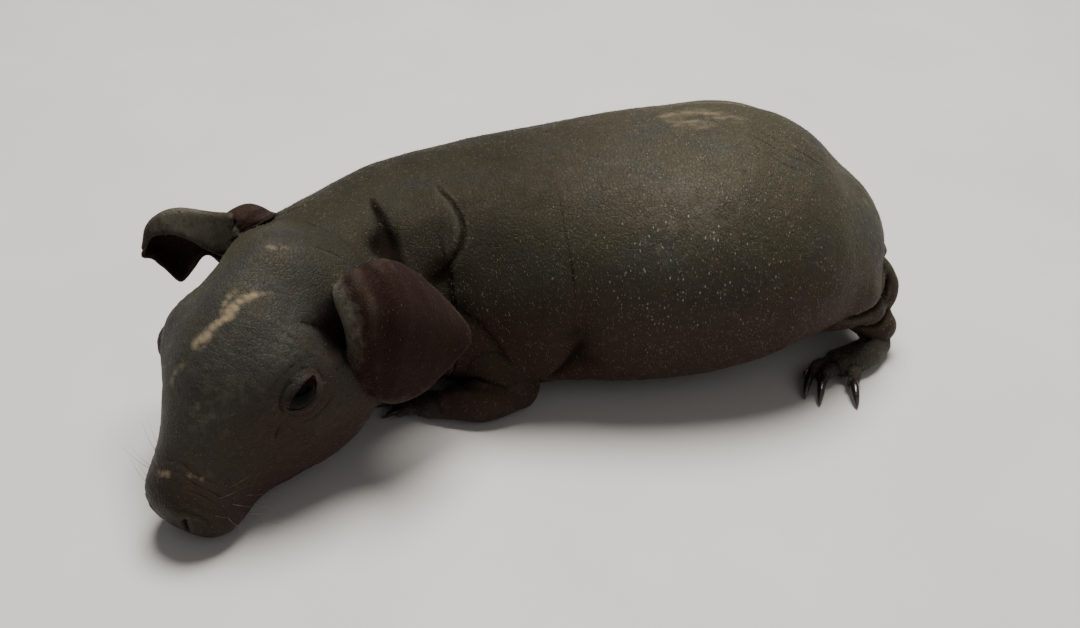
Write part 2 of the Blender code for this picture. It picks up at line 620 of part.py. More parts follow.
def main():
    for obj in list(bpy.data.objects):
        bpy.data.objects.remove(obj)
    parts = trunk_parts()
    head = build_head()
    boolean(parts["neck"], inflated(head))
    for side, sign in (("left", 1), ("right", -1)):
        ear = sheet_object("ear_" + side, ear_sheet(side), EAR_THICKNESS)
        if side == "right":
            for rod in EAR_FOLDS:
                boolean(ear, tube("fold", sweep_grid(rod, rings=7, sides=10)), "UNION")
        boolean(ear, inflated(head))
        boolean(ear, inflated(parts["neck"]))
        eye = ball("eye_" + side, from_head(eye_place(sign)), EYE_RADIUS)
        foreleg = build_limb("foreleg_" + side)
        for near in ("chest", "neck", "abdomen"):
            boolean(foreleg, inflated(parts[near]))
        thigh = build_limb("thigh_" + side)
        for near in ("rump", "abdomen"):
            boolean(thigh, inflated(parts[near]))
        for kind, leg in (("forefoot_", foreleg), ("hindfoot_", thigh)):
            foot, claws = build_foot(kind + side)
            boolean(leg, inflated(foot))
            keep_largest(foot)
            paint(foot, SKIN)
            for claw in claws:
                paint(claw, CLAW)
        for obj in (ear, foreleg, thigh):
            keep_largest(obj)
        for obj in (foreleg, thigh):
            paint(obj, SKIN)
        paint(ear, EAR_SKIN)
        paint(eye, EYE)
    for obj in (head, *parts.values()):
        keep_largest(obj)
        paint(obj, SKIN)
    settle()


if __name__ == "__main__":
    main()
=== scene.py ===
"""A young skinny pig, the hairless guinea pig, at rest on a pale floor, seen from in front and above.

The skin is one surface grown from the same named sizes as the solids: its parts are joined, softened
where they meet, and creased. Eyes, claws and the sparse hairs are pieces of their own. Tables are in
millimetres, in the part's own axes, and to_row turns them into metres in the frame of the solids.
"""

import math

import bmesh
import bpy
import numpy as np
from mathutils import Matrix, Vector
from mathutils.kdtree import KDTree


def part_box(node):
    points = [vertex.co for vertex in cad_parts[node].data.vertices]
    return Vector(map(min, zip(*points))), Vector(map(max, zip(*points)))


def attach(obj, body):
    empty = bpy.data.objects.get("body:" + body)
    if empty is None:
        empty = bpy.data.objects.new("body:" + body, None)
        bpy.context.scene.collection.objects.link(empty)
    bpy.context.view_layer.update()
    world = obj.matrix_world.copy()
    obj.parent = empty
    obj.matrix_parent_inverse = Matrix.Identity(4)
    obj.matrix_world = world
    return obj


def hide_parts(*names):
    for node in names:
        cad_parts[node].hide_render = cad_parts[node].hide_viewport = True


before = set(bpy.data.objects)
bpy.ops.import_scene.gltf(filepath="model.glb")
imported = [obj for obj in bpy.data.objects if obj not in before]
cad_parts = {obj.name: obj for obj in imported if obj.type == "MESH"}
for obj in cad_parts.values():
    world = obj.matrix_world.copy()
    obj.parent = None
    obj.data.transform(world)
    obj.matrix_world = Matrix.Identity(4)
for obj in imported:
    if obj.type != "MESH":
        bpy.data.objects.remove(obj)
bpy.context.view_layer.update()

MM = 0.001
# Edge length of the skin's mesh while it is shaped, and the share of its faces that is kept
VOXEL = 0.3
KEPT_SHARE = 0.5

# Camera: the photograph's framing, with the focal length in its pixels
PHOTO_WIDTH = 1080
FOCAL_PIXELS = 1316
SENSOR = 36.0
CAMERA_ELEVATION = 36.0
CAMERA_DISTANCE = 280.0
CAMERA_TARGET = (0, 0, 17)

# Lights: name, place in metres, size, power and colour
LIGHTS = (
    ("key", (0.04, 0.17, 0.72), 0.42, 9.6, (1.0, 0.965, 0.91)),
    ("fill", (0.45, -0.60, 0.55), 0.90, 0.9, (1.0, 0.98, 0.95)),
)
LIGHT_TARGET = (0, 0, 0.02)
WORLD_COLOUR, WORLD_STRENGTH = (1.0, 0.985, 0.96), 0.15
# Half the floor's side, in metres
FLOOR_HALF = 3.0

# Linear colours
GREY = (0.031, 0.031, 0.029)
OLIVE = (0.041, 0.038, 0.023)
BROWN = (0.034, 0.024, 0.016)
# Painted shade on the underside and below the eyes, tinged red like light bounced up from below
UNDERSIDE_SHADE = (0.027, 0.011, 0.009)
# Painted shade over the front of the body
FRONT_SHADE = (0.019, 0.0165, 0.0115)
ASH = (0.078, 0.073, 0.056)
# The ears' own reddish brown, darkened further as painted shade
EAR_SHADED_BROWN = (0.019, 0.007, 0.006)
# Painted highlight on the ears' rolled front edges and rims
EAR_RIM_HIGHLIGHT = (0.17, 0.16, 0.125)
# Painted shade on the inner face of the ears and in the hollow in front of each
EAR_INSIDE_SHADE = (0.014, 0.005, 0.004)
NOSE = (0.018, 0.012, 0.009)
FOOT = (0.042, 0.039, 0.033)
# Dark of the fine mottling, also used as painted shade in hollows, folds and between the lids
DARK = (0.010, 0.007, 0.005)
TAN = (0.30, 0.235, 0.15)
FLAKE = (0.34, 0.33, 0.28)
PUPIL = (0.001, 0.001, 0.001)
IRIS_DARK, IRIS_BROWN = (0.003, 0.0015, 0.001), (0.008, 0.0035, 0.002)
EYE_WHITE = (0.03, 0.018, 0.015)
CLAW_BLACK, CLAW_BROWN, CLAW_TIP = (0.009, 0.008, 0.007), (0.028, 0.021, 0.018), (0.065, 0.045, 0.034)
HAIR_PALE, HAIR_DARK = (0.30, 0.26, 0.19), (0.09, 0.075, 0.055)
WHISKER_PALE, WHISKER_DARK = (0.20, 0.17, 0.14), (0.05, 0.04, 0.03)
FLOOR_PALE, FLOOR_SHADE = (0.70, 0.69, 0.67), (0.66, 0.65, 0.63)

# Trunk and neck: one row a station, from the rump to inside the head.
# x, y and level place the widest point's middle; then half width, height above it and depth below it.
TRUNK = (
    (75.2, 18.8, 23.4, 20.0, 17.5, 14.0),
    (66, 18.5, 24.3, 22.6, 18.9, 16.2),
    (58.5, 18.0, 25.5, 26.0, 22.9, 17.3),
    (44, 17.0, 26.5, 30.0, 26.9, 24.4),
    (24, 15.5, 26, 31.5, 27.0, 27.5),
    (4, 14.0, 25, 29.5, 25.5, 26.5),
    (-14, 12.0, 24, 27.0, 24.0, 25.5),
    (-28, 8.0, 24, 24.5, 22.0, 24.0),
    (-37, 1.0, 25, 22.0, 19.8, 23.5),
    (-43, -7, 27, 19.5, 18.8, 23.0),
    (-45.5, -11, 27.5, 18.0, 18.4, 21.5),
)
RUMP_REACH, RUMP_POWER = 25.0, 2.3
# Fullness of a section's upper and lower half, and the step over which the trunk's heading is measured
TOP_FULLNESS, BOTTOM_FULLNESS = 2.1, 2.3
HEADING_STEP = 0.5

# Head: x runs forward from the nape; then half width, top, widest level, bottom and the crown's fullness.
HEAD = (
    (-8, 12.5, 8.8, -1.0, -15.0, 1.9),
    (0, 16.2, 17.3, -1.0, -18.6, 1.75),
    (9, 18.4, 19.9, -3.0, -21.5, 1.62),
    (18, 19.9, 20.5, -4.5, -22.5, 1.76),
    (26, 18.2, 19.2, -5.0, -21.0, 1.9),
    (34, 13.8, 16.1, -4.5, -17.0, 1.85),
    (41, 10.2, 12.2, -4.0, -13.2, 1.88),
    (47, 9.0, 9.2, -3.6, -10.7, 2.1),
    (53.8, 9.6, 6.8, -3.3, -8.8, 2.2),
)
MUZZLE_REACH, MUZZLE_POWER = 8.0, 2.6
HEAD_ORIGIN = (-45.6, -11.8, 34.4)
HEAD_YAW, HEAD_PITCH = 240.6, 31.0
HEAD_BOTTOM_FULLNESS = 2.4
# The line inside the head that its forms rise away from: how far forward it reaches, and its level
CORE_END, CORE_LEVEL = 45, -3
# Swellings and hollows of the head: middle, reach along x, y and z, and height.
# Those off the midline come in pairs.
HEAD_FORMS = (
    (21.0, 13.5, 13.0, 7.5, 5.0, 3.2, 1.5),
    (23.5, 17.5, 2.0, 6.5, 5.0, 3.2, -0.9),
    (14.0, 18.5, -9.0, 9.0, 7.0, 8.0, 1.4),
    (8.5, 17.0, 7.0, 4.5, 6.0, 4.5, -2.0),
    (32.5, 13.0, 2.0, 6.0, 5.0, 5.0, -0.8),
    (47.5, 9.0, -3.0, 5.0, 5.0, 4.5, 0.5),
    (47.0, 0.0, -12.0, 4.0, 5.0, 3.0, 0.6),
    (37.0, 0.0, 15.0, 6.0, 7.0, 4.0, -0.5),
    (51.0, 0.0, 4.0, 3.5, 5.0, 3.0, 0.6),
)

EYE_CENTRE = (22.8, 13.6, 6.5)
EYE_RADIUS = 4.2
LID_THICKNESS = 0.7
# Direction that the eye looks in, and the half length and half height of the opening between the lids
EYE_FACING = (0.30, 0.86, 0.41)
EYE_OPENING = (3.9, 2.1)

# Room between the solids' eyeball and its socket, how much of it the eye here fills, and the cornea's rise
SOCKET_ROOM = 0.3
EYE_FILL = 0.4
CORNEA_RISE = 0.04
# Share of the solids' opening that the lids of the skin leave between them, and how its ends taper
LID_GAP, LID_TAPER = 0.74, 0.35
# Sections of the rod that opens the lids: distance out from the eye's middle, and widening
LID_SECTIONS = ((0.5, 1.0), (3.5, 1.0), (8.0, 1.35))
# Radius and width of the ring around a lid where it meets the head
LID_RING, LID_RING_WIDTH = 5.6, 1.3
# Rows and columns of an ear's sheet, as it is built and as the skin is measured against it
EAR_ROWS, EAR_COLUMNS = 70, 80
COARSE_EAR_ROWS, COARSE_EAR_COLUMNS = 40, 44
# Relief of the left ear's outside, with places and widths as shares of its breadth: place, width and height
# of a hollow and of the ridge in front of it, then place and height of each vein, and the veins' width
EAR_RIDGES = ((0.49, 0.08, -1.0), (0.28, 0.10, 0.35))
EAR_VEINS = ((0.62, 0.2), (0.75, 0.16), (0.87, 0.14))
EAR_VEIN_WIDTH = 0.025
# Breadth of an ear's thick edge, and of the painted highlight on its roll and on its rim
EAR_EDGE, EAR_ROLL, EAR_RIM_WIDTH = 0.16, 0.17, 0.06
# What lies lower than this rests on the floor
FLOOR_REACH = 0.12
# How far the skin is drawn smooth at an ear's root, about the lids, at the nape, at a foot and at a leg
EAR_JOIN, LID_JOIN, NAPE_JOIN, FOOT_JOIN, LEG_JOIN = 2.0, 1.4, 5.0, 1.6, 3.6
# Strength of one smoothing step, and how much stronger the step back is, so that nothing shrinks
SMOOTHING, SMOOTHING_BACK = 0.5, 0.03
# Hairs of each kind of part: number per square millimetre, length and width
HAIRS = {
    "trunk": (0.45, 0.6, 0.07),
    "head": (0.35, 0.5, 0.05),
    "ear": (0.25, 0.5, 0.045),
    "foreleg": (0.7, 0.6, 0.06),
    "thigh": (0.7, 0.6, 0.06),
    "forefoot": (1.4, 0.8, 0.06),
    "hindfoot": (2.2, 0.9, 0.065),
}
COATS = {
    "coat_trunk_1": ("trunk",),
    "coat_trunk_2": ("trunk",),
    "coat_head": ("head", "ear"),
    "coat_legs": ("foreleg", "thigh", "forefoot", "hindfoot"),
}
# A hair's sections: share of its length, rise and size; its corners on its patch of the unrolled body
HAIR_SECTIONS = ((0.0, -0.18, 1.0), (0.5, 0.6, 0.75), (1.0, 1.0, 0.0))
HAIR_FACES = ((0, 1, 4, 3), (1, 2, 5, 4), (2, 0, 3, 5), (3, 4, 6), (4, 5, 6), (5, 3, 6), (0, 2, 1))
HAIR_CORNERS = ((0, 0), (0.5, 0), (1, 0), (0, 0.5), (0.5, 0.5), (1, 0.5), (0.5, 1))
HAIR_SEED = 7
# The way that hair lies on the trunk, ears and legs; stray from it, and ranges of length, width and lift
TRUNK_LIE, EAR_LIE, LIMB_LIE = (0.5, 0, -1.0), (-0.2, -0.4, -1.0), (0.1, 0, -1.0)
HAIR_STRAY = 0.14
HAIR_LENGTHS, HAIR_WIDTHS, HAIR_LIFT = (0.55, 1.45), (0.7, 1.2), (0.12, 0.5)
# Hairs grow only on what is higher than this
BARE_BELOW = 1.0
# Whiskers: half width, the point in the head that they lead away from, then depth in the skin, ranges of
# their sweep backwards and of their length, with their stray between, and their bend backwards and downwards
WHISKER_WIDTH = 0.05
WHISKER_CENTRE = (40.0, 0, -4.0)
WHISKER_SUNK, WHISKER_SWEEP, WHISKER_STRAY, WHISKER_LENGTHS = 0.4, (0.5, 0.9), 0.08, (0.8, 1.1)
WHISKER_BEND, WHISKER_DROOP = 0.22, 0.1
# Whiskers: place on the head as (x, angle around it), and length
WHISKERS = (
    (49.5, 22, 6.0), (48.5, 8, 7.0), (48.8, -8, 6.5), (46.8, 28, 8.0), (46.2, 12, 9.0), (46.4, -4, 8.5),
    (46.0, -18, 7.0), (44.0, 24, 9.0), (43.6, 6, 10.0), (43.8, -12, 8.5),
)
# Fields of the square that hold the unrolled parts; those on the right lie beside those on the left
ATLAS = {
    "trunk": (0.01, 0.01, 0.98, 0.50),
    "head": (0.01, 0.52, 0.60, 0.80),
    "ear": (0.62, 0.52, 0.79, 0.80),
    "foreleg": (0.01, 0.82, 0.11, 0.98),
    "thigh": (0.24, 0.82, 0.34, 0.98),
    "forefoot": (0.47, 0.82, 0.57, 0.98),
    "hindfoot": (0.70, 0.82, 0.80, 0.98),
}
ATLAS_GAP = 0.01
PATCH = 0.003
FLESH = (
    "rump", "abdomen", "chest", "neck", "head", "ear_left", "ear_right",
    "foreleg_left", "foreleg_right", "thigh_left", "thigh_right",
    "forefoot_left", "forefoot_right", "hindfoot_left", "hindfoot_right",
)

# Creases of the head: places on its surface as (x, angle around it from the left side in degrees), then the
# width and depth of the groove and the swelling on its first and second side; those marked 2 come in pairs
HEAD_CREASES = (
    ("mouth", 1, ((41.5, -22), (44.5, -30), (48.0, -42), (50.8, -62), (51.4, -90), (50.8, -118),
                  (48.0, -138), (44.5, -150), (41.5, -158)), 0.42, 1.0, 0.22, 0.22),
    ("lip groove", 1, ((53.5, 90), (53.79, 90), (53.6, -90), (52.6, -90), (51.5, -90)),
     0.36, 0.6, 0.12, 0.12),
    ("nostril", 2, ((53.72, 12), (53.6, 34), (53.2, 48), (52.5, 54), (51.8, 50)), 0.46, 1.15, 0.22, 0.14),
    ("nose fold", 2, ((51.4, 74), (50.8, 56), (50.6, 36), (51.0, 14)), 0.5, 0.13, 0.05, 0.05),
    ("cheek fold", 2, ((41.0, -24), (36.0, -24), (30.0, -30), (24.0, -36), (18.0, -42)),
     0.9, 0.35, 0.2, 0.25),
    ("jaw fold", 2, ((34.0, -48), (26.0, -58), (16.0, -62), (6.0, -60)), 1.3, 0.5, 0.25, 0.3),
    ("throat fold", 1, ((9.0, -40), (10.0, -90), (9.0, -140)), 1.5, 0.7, 0.3, 0.35),
    ("throat crease", 1, ((18.0, -50), (19.5, -90), (18.0, -130)), 1.0, 0.35, 0.15, 0.15),
    ("ear root crease", 2, ((13.5, 52), (11.5, 42), (10.5, 30), (12.0, 14)), 1.3, 0.4, 0.15, 0.15),
)
# Creases about each eye, in the head's axes, on the left; the right has the same
EYE_CREASES = (
    (((28.4, 13.6, 6.0), (27.2, 13.9, 9.0), (24.6, 14.8, 11.0), (21.2, 16.0, 10.6), (18.2, 17.2, 8.2)),
     0.41, 0.14, 0.03, 0.05),
    (((27.6, 12.2, 10.8), (24.6, 13.4, 12.8), (20.8, 15.0, 12.8), (17.0, 16.6, 10.4), (14.8, 17.8, 7.0)),
     0.48, 0.11, 0.025, 0.04),
    (((24.4, 11.4, 14.6), (20.6, 13.2, 14.8), (16.8, 15.2, 13.2)), 0.46, 0.07, 0.015, 0.025),
    (((18.2, 13.6, 15.0), (15.2, 15.4, 13.0), (12.8, 17.0, 9.8)), 0.46, 0.08, 0.015, 0.025),
    (((28.4, 14.6, 2.6), (25.6, 16.4, 1.2), (22.0, 17.6, 1.0), (18.8, 18.4, 2.2)), 0.41, 0.11, 0.025, 0.04),
    (((26.4, 15.8, -0.6), (22.4, 17.8, -1.4), (18.4, 18.8, -0.4)), 0.48, 0.07, 0.02, 0.025),
    (((17.4, 18.0, 4.4), (14.6, 18.8, 3.6), (12.0, 19.0, 2.0)), 0.41, 0.11, 0.025, 0.03),
    (((17.6, 17.8, 6.2), (14.4, 18.2, 6.6), (11.4, 18.0, 6.2)), 0.41, 0.09, 0.02, 0.025),
    (((29.4, 13.8, 5.4), (31.0, 13.2, 4.2), (32.8, 12.4, 2.4)), 0.41, 0.12, 0.025, 0.03),
)
# Height of the crests and hollows that the skin's colour follows
CREST_HEIGHT = 0.03
# Middle of the body between the two thighs, between the two groins and between the toes of the hind feet
THIGH_MIDDLE, GROIN_MIDDLE, TOE_MIDDLE = 18.5, 18.25, 18.4


def far_side(rows, middle):
    """Rows of (x, y, ...) across the body's middle, to the hundredth of a millimetre."""
    return tuple((x, round(2 * middle - y, 2), *rest) for x, y, *rest in rows)


def far_crease(crease, middle):
    """A crease across the body's middle, where its two swellings change places."""
    name, line, width, depth, first, second = crease
    return "right " + name, far_side(line, middle), width, depth, second, first


# Creases of the trunk: points on its surface from the back downwards, width and depth, then the swelling
# on the head's side and on the rump's side, the other way round for those on the right
GROIN = (
    "groin", ((44.0, -9.0, 16.5), (50.0, -4.0, 15.5), (57.0, 1.5, 14.5), (63.0, 4.0, 13.5)),
    1.0, 0.8, 0.3, 0.3,
)
THIGH_FOLDS = (
    ("above the thigh's fold", ((75.9, 12.6, 21.0), (75.5, 10.7, 18.1), (74.5, 8.5, 15.7), (71.6, 5.3, 15.0),
                                (67.4, 2.7, 15.0), (62.5, 0.5, 15.6)), 1.2, 1.5, 0.5, 0.2),
    ("below the thigh's fold", ((77.4, 10.5, 13.5), (75.8, 6.9, 10.9), (73.1, 5.6, 9.7), (68.7, 5.4, 9.6),
                                (63.5, 5.6, 10.2)), 0.9, 0.9, 0.2, 0.1),
)
TRUNK_CREASES = (
    ("chest line", ((3.0, 3.6, 48.9), (4.6, -5.0, 43.5), (6.9, -14.0, 33.0), (7.0, -15.3, 26.6)),
     0.3, 0.08, 0.02, 0.07),
    ("shoulder", ((-19.0, -13.2, 31.5), (-16.5, -13.8, 29.0), (-11.6, -14.5, 25.0), (-9.5, -14.3, 21.4),
                  (-6.8, -13.7, 16.4), (-5.4, -14.0, 13.0)), 1.7, 0.45, 0.12, 0.2),
    ("elbow", ((8.6, -15.6, 22.0), (7.2, -14.6, 16.0), (4.0, -12.5, 10.5), (0.5, -11.5, 7.0)),
     1.8, 0.7, 0.3, 0.2),
    GROIN,
    ("right neck", ((-17.4, 28.4, 39.6), (-16.8, 30.5, 36.5), (-17.0, 32.5, 32.0), (-18.5, 33.5, 26.0)),
     1.6, 0.6, 0.25, 0.25),
    ("right nape", ((-31.4, 20.5, 39.6), (-31.2, 23.0, 36.8), (-31.4, 25.5, 33.0), (-32.0, 27.0, 27.5)),
     1.8, 0.7, 0.25, 0.25),
    *THIGH_FOLDS,
    ("right chest line", ((3.0, 24.4, 48.9), (5.2, 34.0, 42.5), (6.9, 41.0, 33.0), (7.0, 43.0, 25.0)),
     0.3, 0.08, 0.02, 0.07),
    ("right shoulder", ((-22.0, 31.0, 32.5), (-16.0, 37.0, 28.0), (-11.0, 40.0, 21.4), (-8.0, 41.0, 14.0)),
     1.8, 0.45, 0.15, 0.3),
    ("right elbow", ((9.6, 44.0, 22.0), (7.6, 43.0, 15.5), (3.0, 40.0, 8.5)), 2.0, 0.5, 0.25, 0.15),
    *(far_crease(fold, THIGH_MIDDLE) for fold in THIGH_FOLDS),
    far_crease(GROIN, GROIN_MIDDLE),
)
# Folds of the neck that roll over a crease: points from the back downwards, the crease's width and depth,
# the roll's side, 1 for the head's and -1 for the rump's, and its height and reach
NECK_FOLDS = (
    ("behind the ear", ((-34.6, 3.0, 45.0), (-33.4, -0.2, 44.7), (-31.4, -4.2, 43.8), (-30.0, -8.0, 42.4),
                        (-28.2, -12.2, 39.4), (-26.4, -14.5, 34.0)), 1.5, 1.7, -1, 0.3, 3.0),
    ("neck", ((-22.0, 6.5, 46.4), (-20.2, 2.8, 45.8), (-17.2, -1.3, 44.6), (-15.2, -6.3, 41.6),
              (-15.8, -8.3, 39.7), (-19.4, -11.3, 34.8), (-20.4, -12.7, 32.3)), 0.7, 0.55, 1, 0.5, 2.4),
)
# Broad swellings and hollows of the trunk and limbs: place, reach and height
TRUNK_FORMS = (
    ("neck roll", (-24.8, -4.0, 43.6), 4.6, 0.9),
    ("pit behind the ear's root", (-30.6, -10.8, 41.8), 3.0, -1.9),
    ("pocket under the neck roll", (-20.2, -12.0, 34.0), 2.6, -1.1),
    ("shoulder", (-8.0, -13.6, 27.5), 6.5, 0.7),
    ("hollow behind the elbow, above", (8.0, -15.2, 23.0), 4.0, -0.9),
    ("hollow behind the elbow, below", (9.6, -13.8, 15.0), 4.5, -1.5),
    ("elbow", (-3.0, -14.0, 10.5), 4.5, 0.6),
    ("hip", (38.5, 1.0, 48.5), 8.0, 0.5),
    ("dip before the hip", (24.0, 6.0, 50.0), 8.0, -0.4),
    ("rump's lower corner", (70.5, 3.5, 19.0), 5.0, 2.2),
    ("right of the rump's lower corner", (70.5, 33.5, 19.0), 5.0, 2.2),
    ("right shoulder", (-8.0, 40.5, 27.0), 6.5, 0.7),
    ("right hollow behind the elbow", (9.0, 42.8, 18.0), 5.0, -1.2),
    ("right hip", (38.5, 33.0, 48.5), 8.0, 0.5),
)
# Noise in the skin's fine relief: amount, size of its features, along x, y and z where there are three,
# and seed
RELIEF = {
    "dents": (0.16, 6.0, 3),
    "pebbles": (0.05, 2.2, 4),
    "sway of the bands": (0.6, 5.0, 6),
    "bands": (1, (1.5, 7.0, 7.0), 5),
    "neck": (0.09, (1.1, 6.0, 6.0), 8),
    "sway of the rump": (1.2, 7.0, 9),
    "depth of the rump": (0.5, 5.0, 10),
    "sway of the muzzle": (0.5, 3.0, 11),
    "depth of the muzzle": (0.06, 2.0, 15),
    "brow": (1, (0.9, 3.2, 1.4), 12),
    "cheek": (0.05, (2.4, 1.2, 0.9), 13),
    "ears": (0.07, (1.6, 1.6, 3.0), 14),
}
# Height of the bands round the trunk and how narrow they are; then height of the fine lines on the head,
# what the brow adds to it, and the shift of their noise
BAND_HEIGHT, BAND_NARROWNESS = 0.03, 2.2
HEAD_LINE_HEIGHT, BROW_LINE_HEIGHT, BROW_SHIFT = 0.05, 0.1, 9
# Wrinkles that slant over the rump and that cross the muzzle: spacing, width as a share of it, and height
RUMP_SLANT = (0.42, 0.86, 0.25)
RUMP_WRINKLES = (3.0, 0.5, 0.3)
MUZZLE_WRINKLES = (1.7, 0.36, 0.09)
# Middle and reach of the places where relief and colour change; those of the head in the head's axes
NECK_AREA = ((-22, 2, 40), 16)
RUMP_AREA = ((51, 13, 50), (10, 10, 8))
BROW_AREA = ((17, 15, 12), 5.5)
CHEEK_AREA = ((26, 15, 6), 10)
# Pale mottling on the upper flank, strong enough there to paint a pool of light
ASH_AND_LIGHT_ON_TRUNK = ((31, -4, 45), (13, 14, 9))
ASH_ON_HEAD = ((30, 5, 14), (11, 8, 8))
SPECK_AREAS = (((30, -8, 35), (26, 14, 17)), ((30, 40, 35), (26, 14, 17)))
# Reach about each eye's middle in which the fine relief is weaker
LID_REACH = 5.5
# Where the muzzle's wrinkles lie: middle and breadth along the head, and the levels between which they begin
MUZZLE_MIDDLE, MUZZLE_BREADTH, MUZZLE_TOP = 46.5, 3.6, (-4, 4)
# Places along the head or body where a share of colour begins and where it is full
NOSE_RANGE, BODY_RANGE, FRONT_RANGE = (44, 52), (7, -7), (26, -8)
# Painted shade of the underside, tinged red like light bounced up from below: its amount at the floor and
# the height over which it goes, then its amount on a wall and how fast it goes as the skin turns up
SHADE_AT_FLOOR, SHADE_HEIGHT = 1.1, 28
SHADE_ON_WALL, SHADE_TURN = 0.7, 1.3
# Painted shade below each eye: offset from the eye's middle, reach and strength
SHADE_BELOW_EYE = ((-1, 2, -3), 6.5, 0.9)
# Shade between the lids: distance out from the eye's middle, reach and strength
LID_SHADE = (4.5, 4.0, 0.48)
# Hollow of the head in front of each ear, which also takes painted shade: middle in the head's axes, reach
# and height
EAR_HOLLOW = ((10.8, 16.5, 6.0), 4.4, -1.7)
# Dry, tan patches, and on the trunk one line of painted highlight: line of points in the part's axes, half
# width and strength
TAN_ON_TRUNK = (
    (((27.0, 20.4, 52.9), (29.8, 17.6, 53.4), (33.5, 15.6, 53.8)), 3.2, 0.4),
    (((31.0, 22.5, 53.2), (36.0, 20.6, 53.6), (41.0, 18.0, 53.8)), 3.4, 0.34),
    (((-21.0, 6.5, 46.5), (-18.9, 2.8, 46.0), (-16.0, -1.3, 44.9), (-14.2, -5.6, 42.0)), 0.6, 0.3),
    (((3.9, 3.6, 48.9), (5.6, -5.0, 43.5), (7.9, -14.0, 33.0)), 0.5, 0.3),
    # Painted highlight: this line paints a thin tan rim of light along the top outline of the back
    (((22.0, 28.6, 51.0), (30.0, 29.5, 52.0), (40.0, 29.0, 52.2), (47.0, 27.6, 51.8)), 1.6, 0.4),
    (((68.5, 13.5, 37.5), (70.5, 14.5, 34.5)), 1.4, 0.35),
)
TAN_ON_HEAD = (
    (((20.9, 0.9, 20.1), (18.5, 2.3, 20.0), (16.2, 3.1, 19.8)), 0.95, 0.9),
    (((18.6, 2.1, 20.0), (16.1, 2.4, 20.2), (13.9, 3.4, 19.6), (12.4, 4.4, 19.0)), 1.05, 0.8),
    (((17.4, 1.0, 20.2), (15.4, 0.8, 20.4), (13.4, 1.4, 20.2)), 0.8, 0.6),
    (((13.6, 3.9, 19.5), (11.8, 5.2, 18.8), (10.4, 6.6, 18.0)), 0.8, 0.45),
    (((24.7, -1.0, 19.4), (23.4, 0.0, 19.7), (22.5, 0.6, 19.9)), 1.3, 0.75),
    (((25.4, 0.4, 19.2), (24.2, 1.0, 19.4)), 0.8, 0.55),
    (((31.7, -4.4, 15.7), (30.3, -3.7, 16.8), (29.0, -2.5, 17.7)), 1.3, 0.6),
    (((27.2, 2.5, 18.4), (27.9, 3.0, 18.0)), 0.7, 0.35),
    (((33.9, 2.6, 15.2), (34.5, 2.8, 14.8)), 0.8, 0.3),
    (((47.1, -1.8, 8.8), (46.8, 0.2, 9.0)), 0.8, 0.6),
    (((45.4, 4.2, 8.5), (45.0, 6.0, 7.4)), 0.7, 0.45),
    (((0.5, -2.6, 17.0), (1.2, -1.6, 17.8)), 0.7, 0.4),
    (((2.7, 1.4, 18.4), (2.3, 2.5, 17.9)), 0.6, 0.5),
    (((1.4, 3.5, 17.3), (1.0, 4.6, 16.8)), 0.5, 0.4),
    (((9.2, 6.8, 17.6), (7.8, 8.6, 16.2)), 0.8, 0.3),
)

# Ears: rows from the root to the tip, each from the front edge, which curls back, to the rear edge
EARS = {
    "left": (
        ((-37.7, -22.0, 37.2), (-37.8, -22.5, 39.0), (-35.8, -20.0, 39.1), (-32.0, -17.0, 38.4),
         (-27.4, -14.0, 36.4), (-23.2, -11.0, 31.4)),
        ((-36.8, -26.0, 38.9), (-37.6, -27.5, 41.1), (-34.7, -26.5, 45.3), (-30.5, -24.0, 46.1),
         (-26.2, -20.5, 42.9), (-22.5, -16.5, 36.9)),
        ((-34.8, -28.5, 33.5), (-35.6, -31.5, 37.4), (-30.5, -33.0, 41.6), (-25.6, -29.5, 40.0),
         (-20.6, -24.5, 36.0), (-16.2, -18.5, 30.9)),
        ((-34.0, -29.0, 26.3), (-35.0, -32.0, 30.1), (-29.9, -34.0, 33.5), (-25.2, -31.5, 31.3),
         (-19.7, -27.0, 28.1), (-13.7, -20.5, 25.6)),
        ((-32.5, -29.0, 20.4), (-33.3, -31.0, 22.0), (-30.4, -32.5, 20.0), (-27.2, -31.0, 18.5),
         (-23.0, -28.6, 18.9), (-19.3, -25.7, 20.9)),
    ),
    "right": (
        ((-62.1, -10.5, 39.2), (-59.6, -10.0, 47.4), (-60.4, -6.0, 40.3), (-63.7, -7.0, 35.0)),
        ((-64.2, -12.0, 41.1), (-63.4, -12.0, 49.3), (-65.9, -7.5, 41.5), (-66.4, -8.5, 37.9)),
        ((-67.6, -13.5, 44.8), (-67.8, -11.5, 49.8), (-70.9, -6.5, 38.2), (-71.6, -9.0, 32.0)),
        ((-71.4, -13.0, 45.7), (-71.9, -11.0, 48.9), (-74.8, -7.0, 39.5), (-74.9, -9.0, 35.1)),
        ((-75.0, -12.0, 44.3), (-75.7, -10.5, 45.7), (-77.0, -8.5, 40.5), (-76.6, -9.5, 37.4)),
        ((-77.4, -10.5, 40.1), (-77.8, -10.0, 40.5), (-78.3, -9.5, 39.0), (-78.6, -9.5, 37.8)),
    ),
}
EAR_THICKNESS = 1.1
# The fold of skin behind the right ear's root, and the skin that fills in below it
EAR_FOLDS = (
    ((-60.8, -8.4, 44.2, 2.6, 2.6), (-57.4, -4.2, 43.8, 2.9, 2.7), (-54.0, -1.6, 41.2, 2.0, 1.8)),
    ((-61.0, -9.0, 40.4, 2.0, 2.6), (-57.6, -6.6, 40.6, 2.6, 3.2), (-53.8, -4.2, 40.4, 2.4, 2.6)),
)

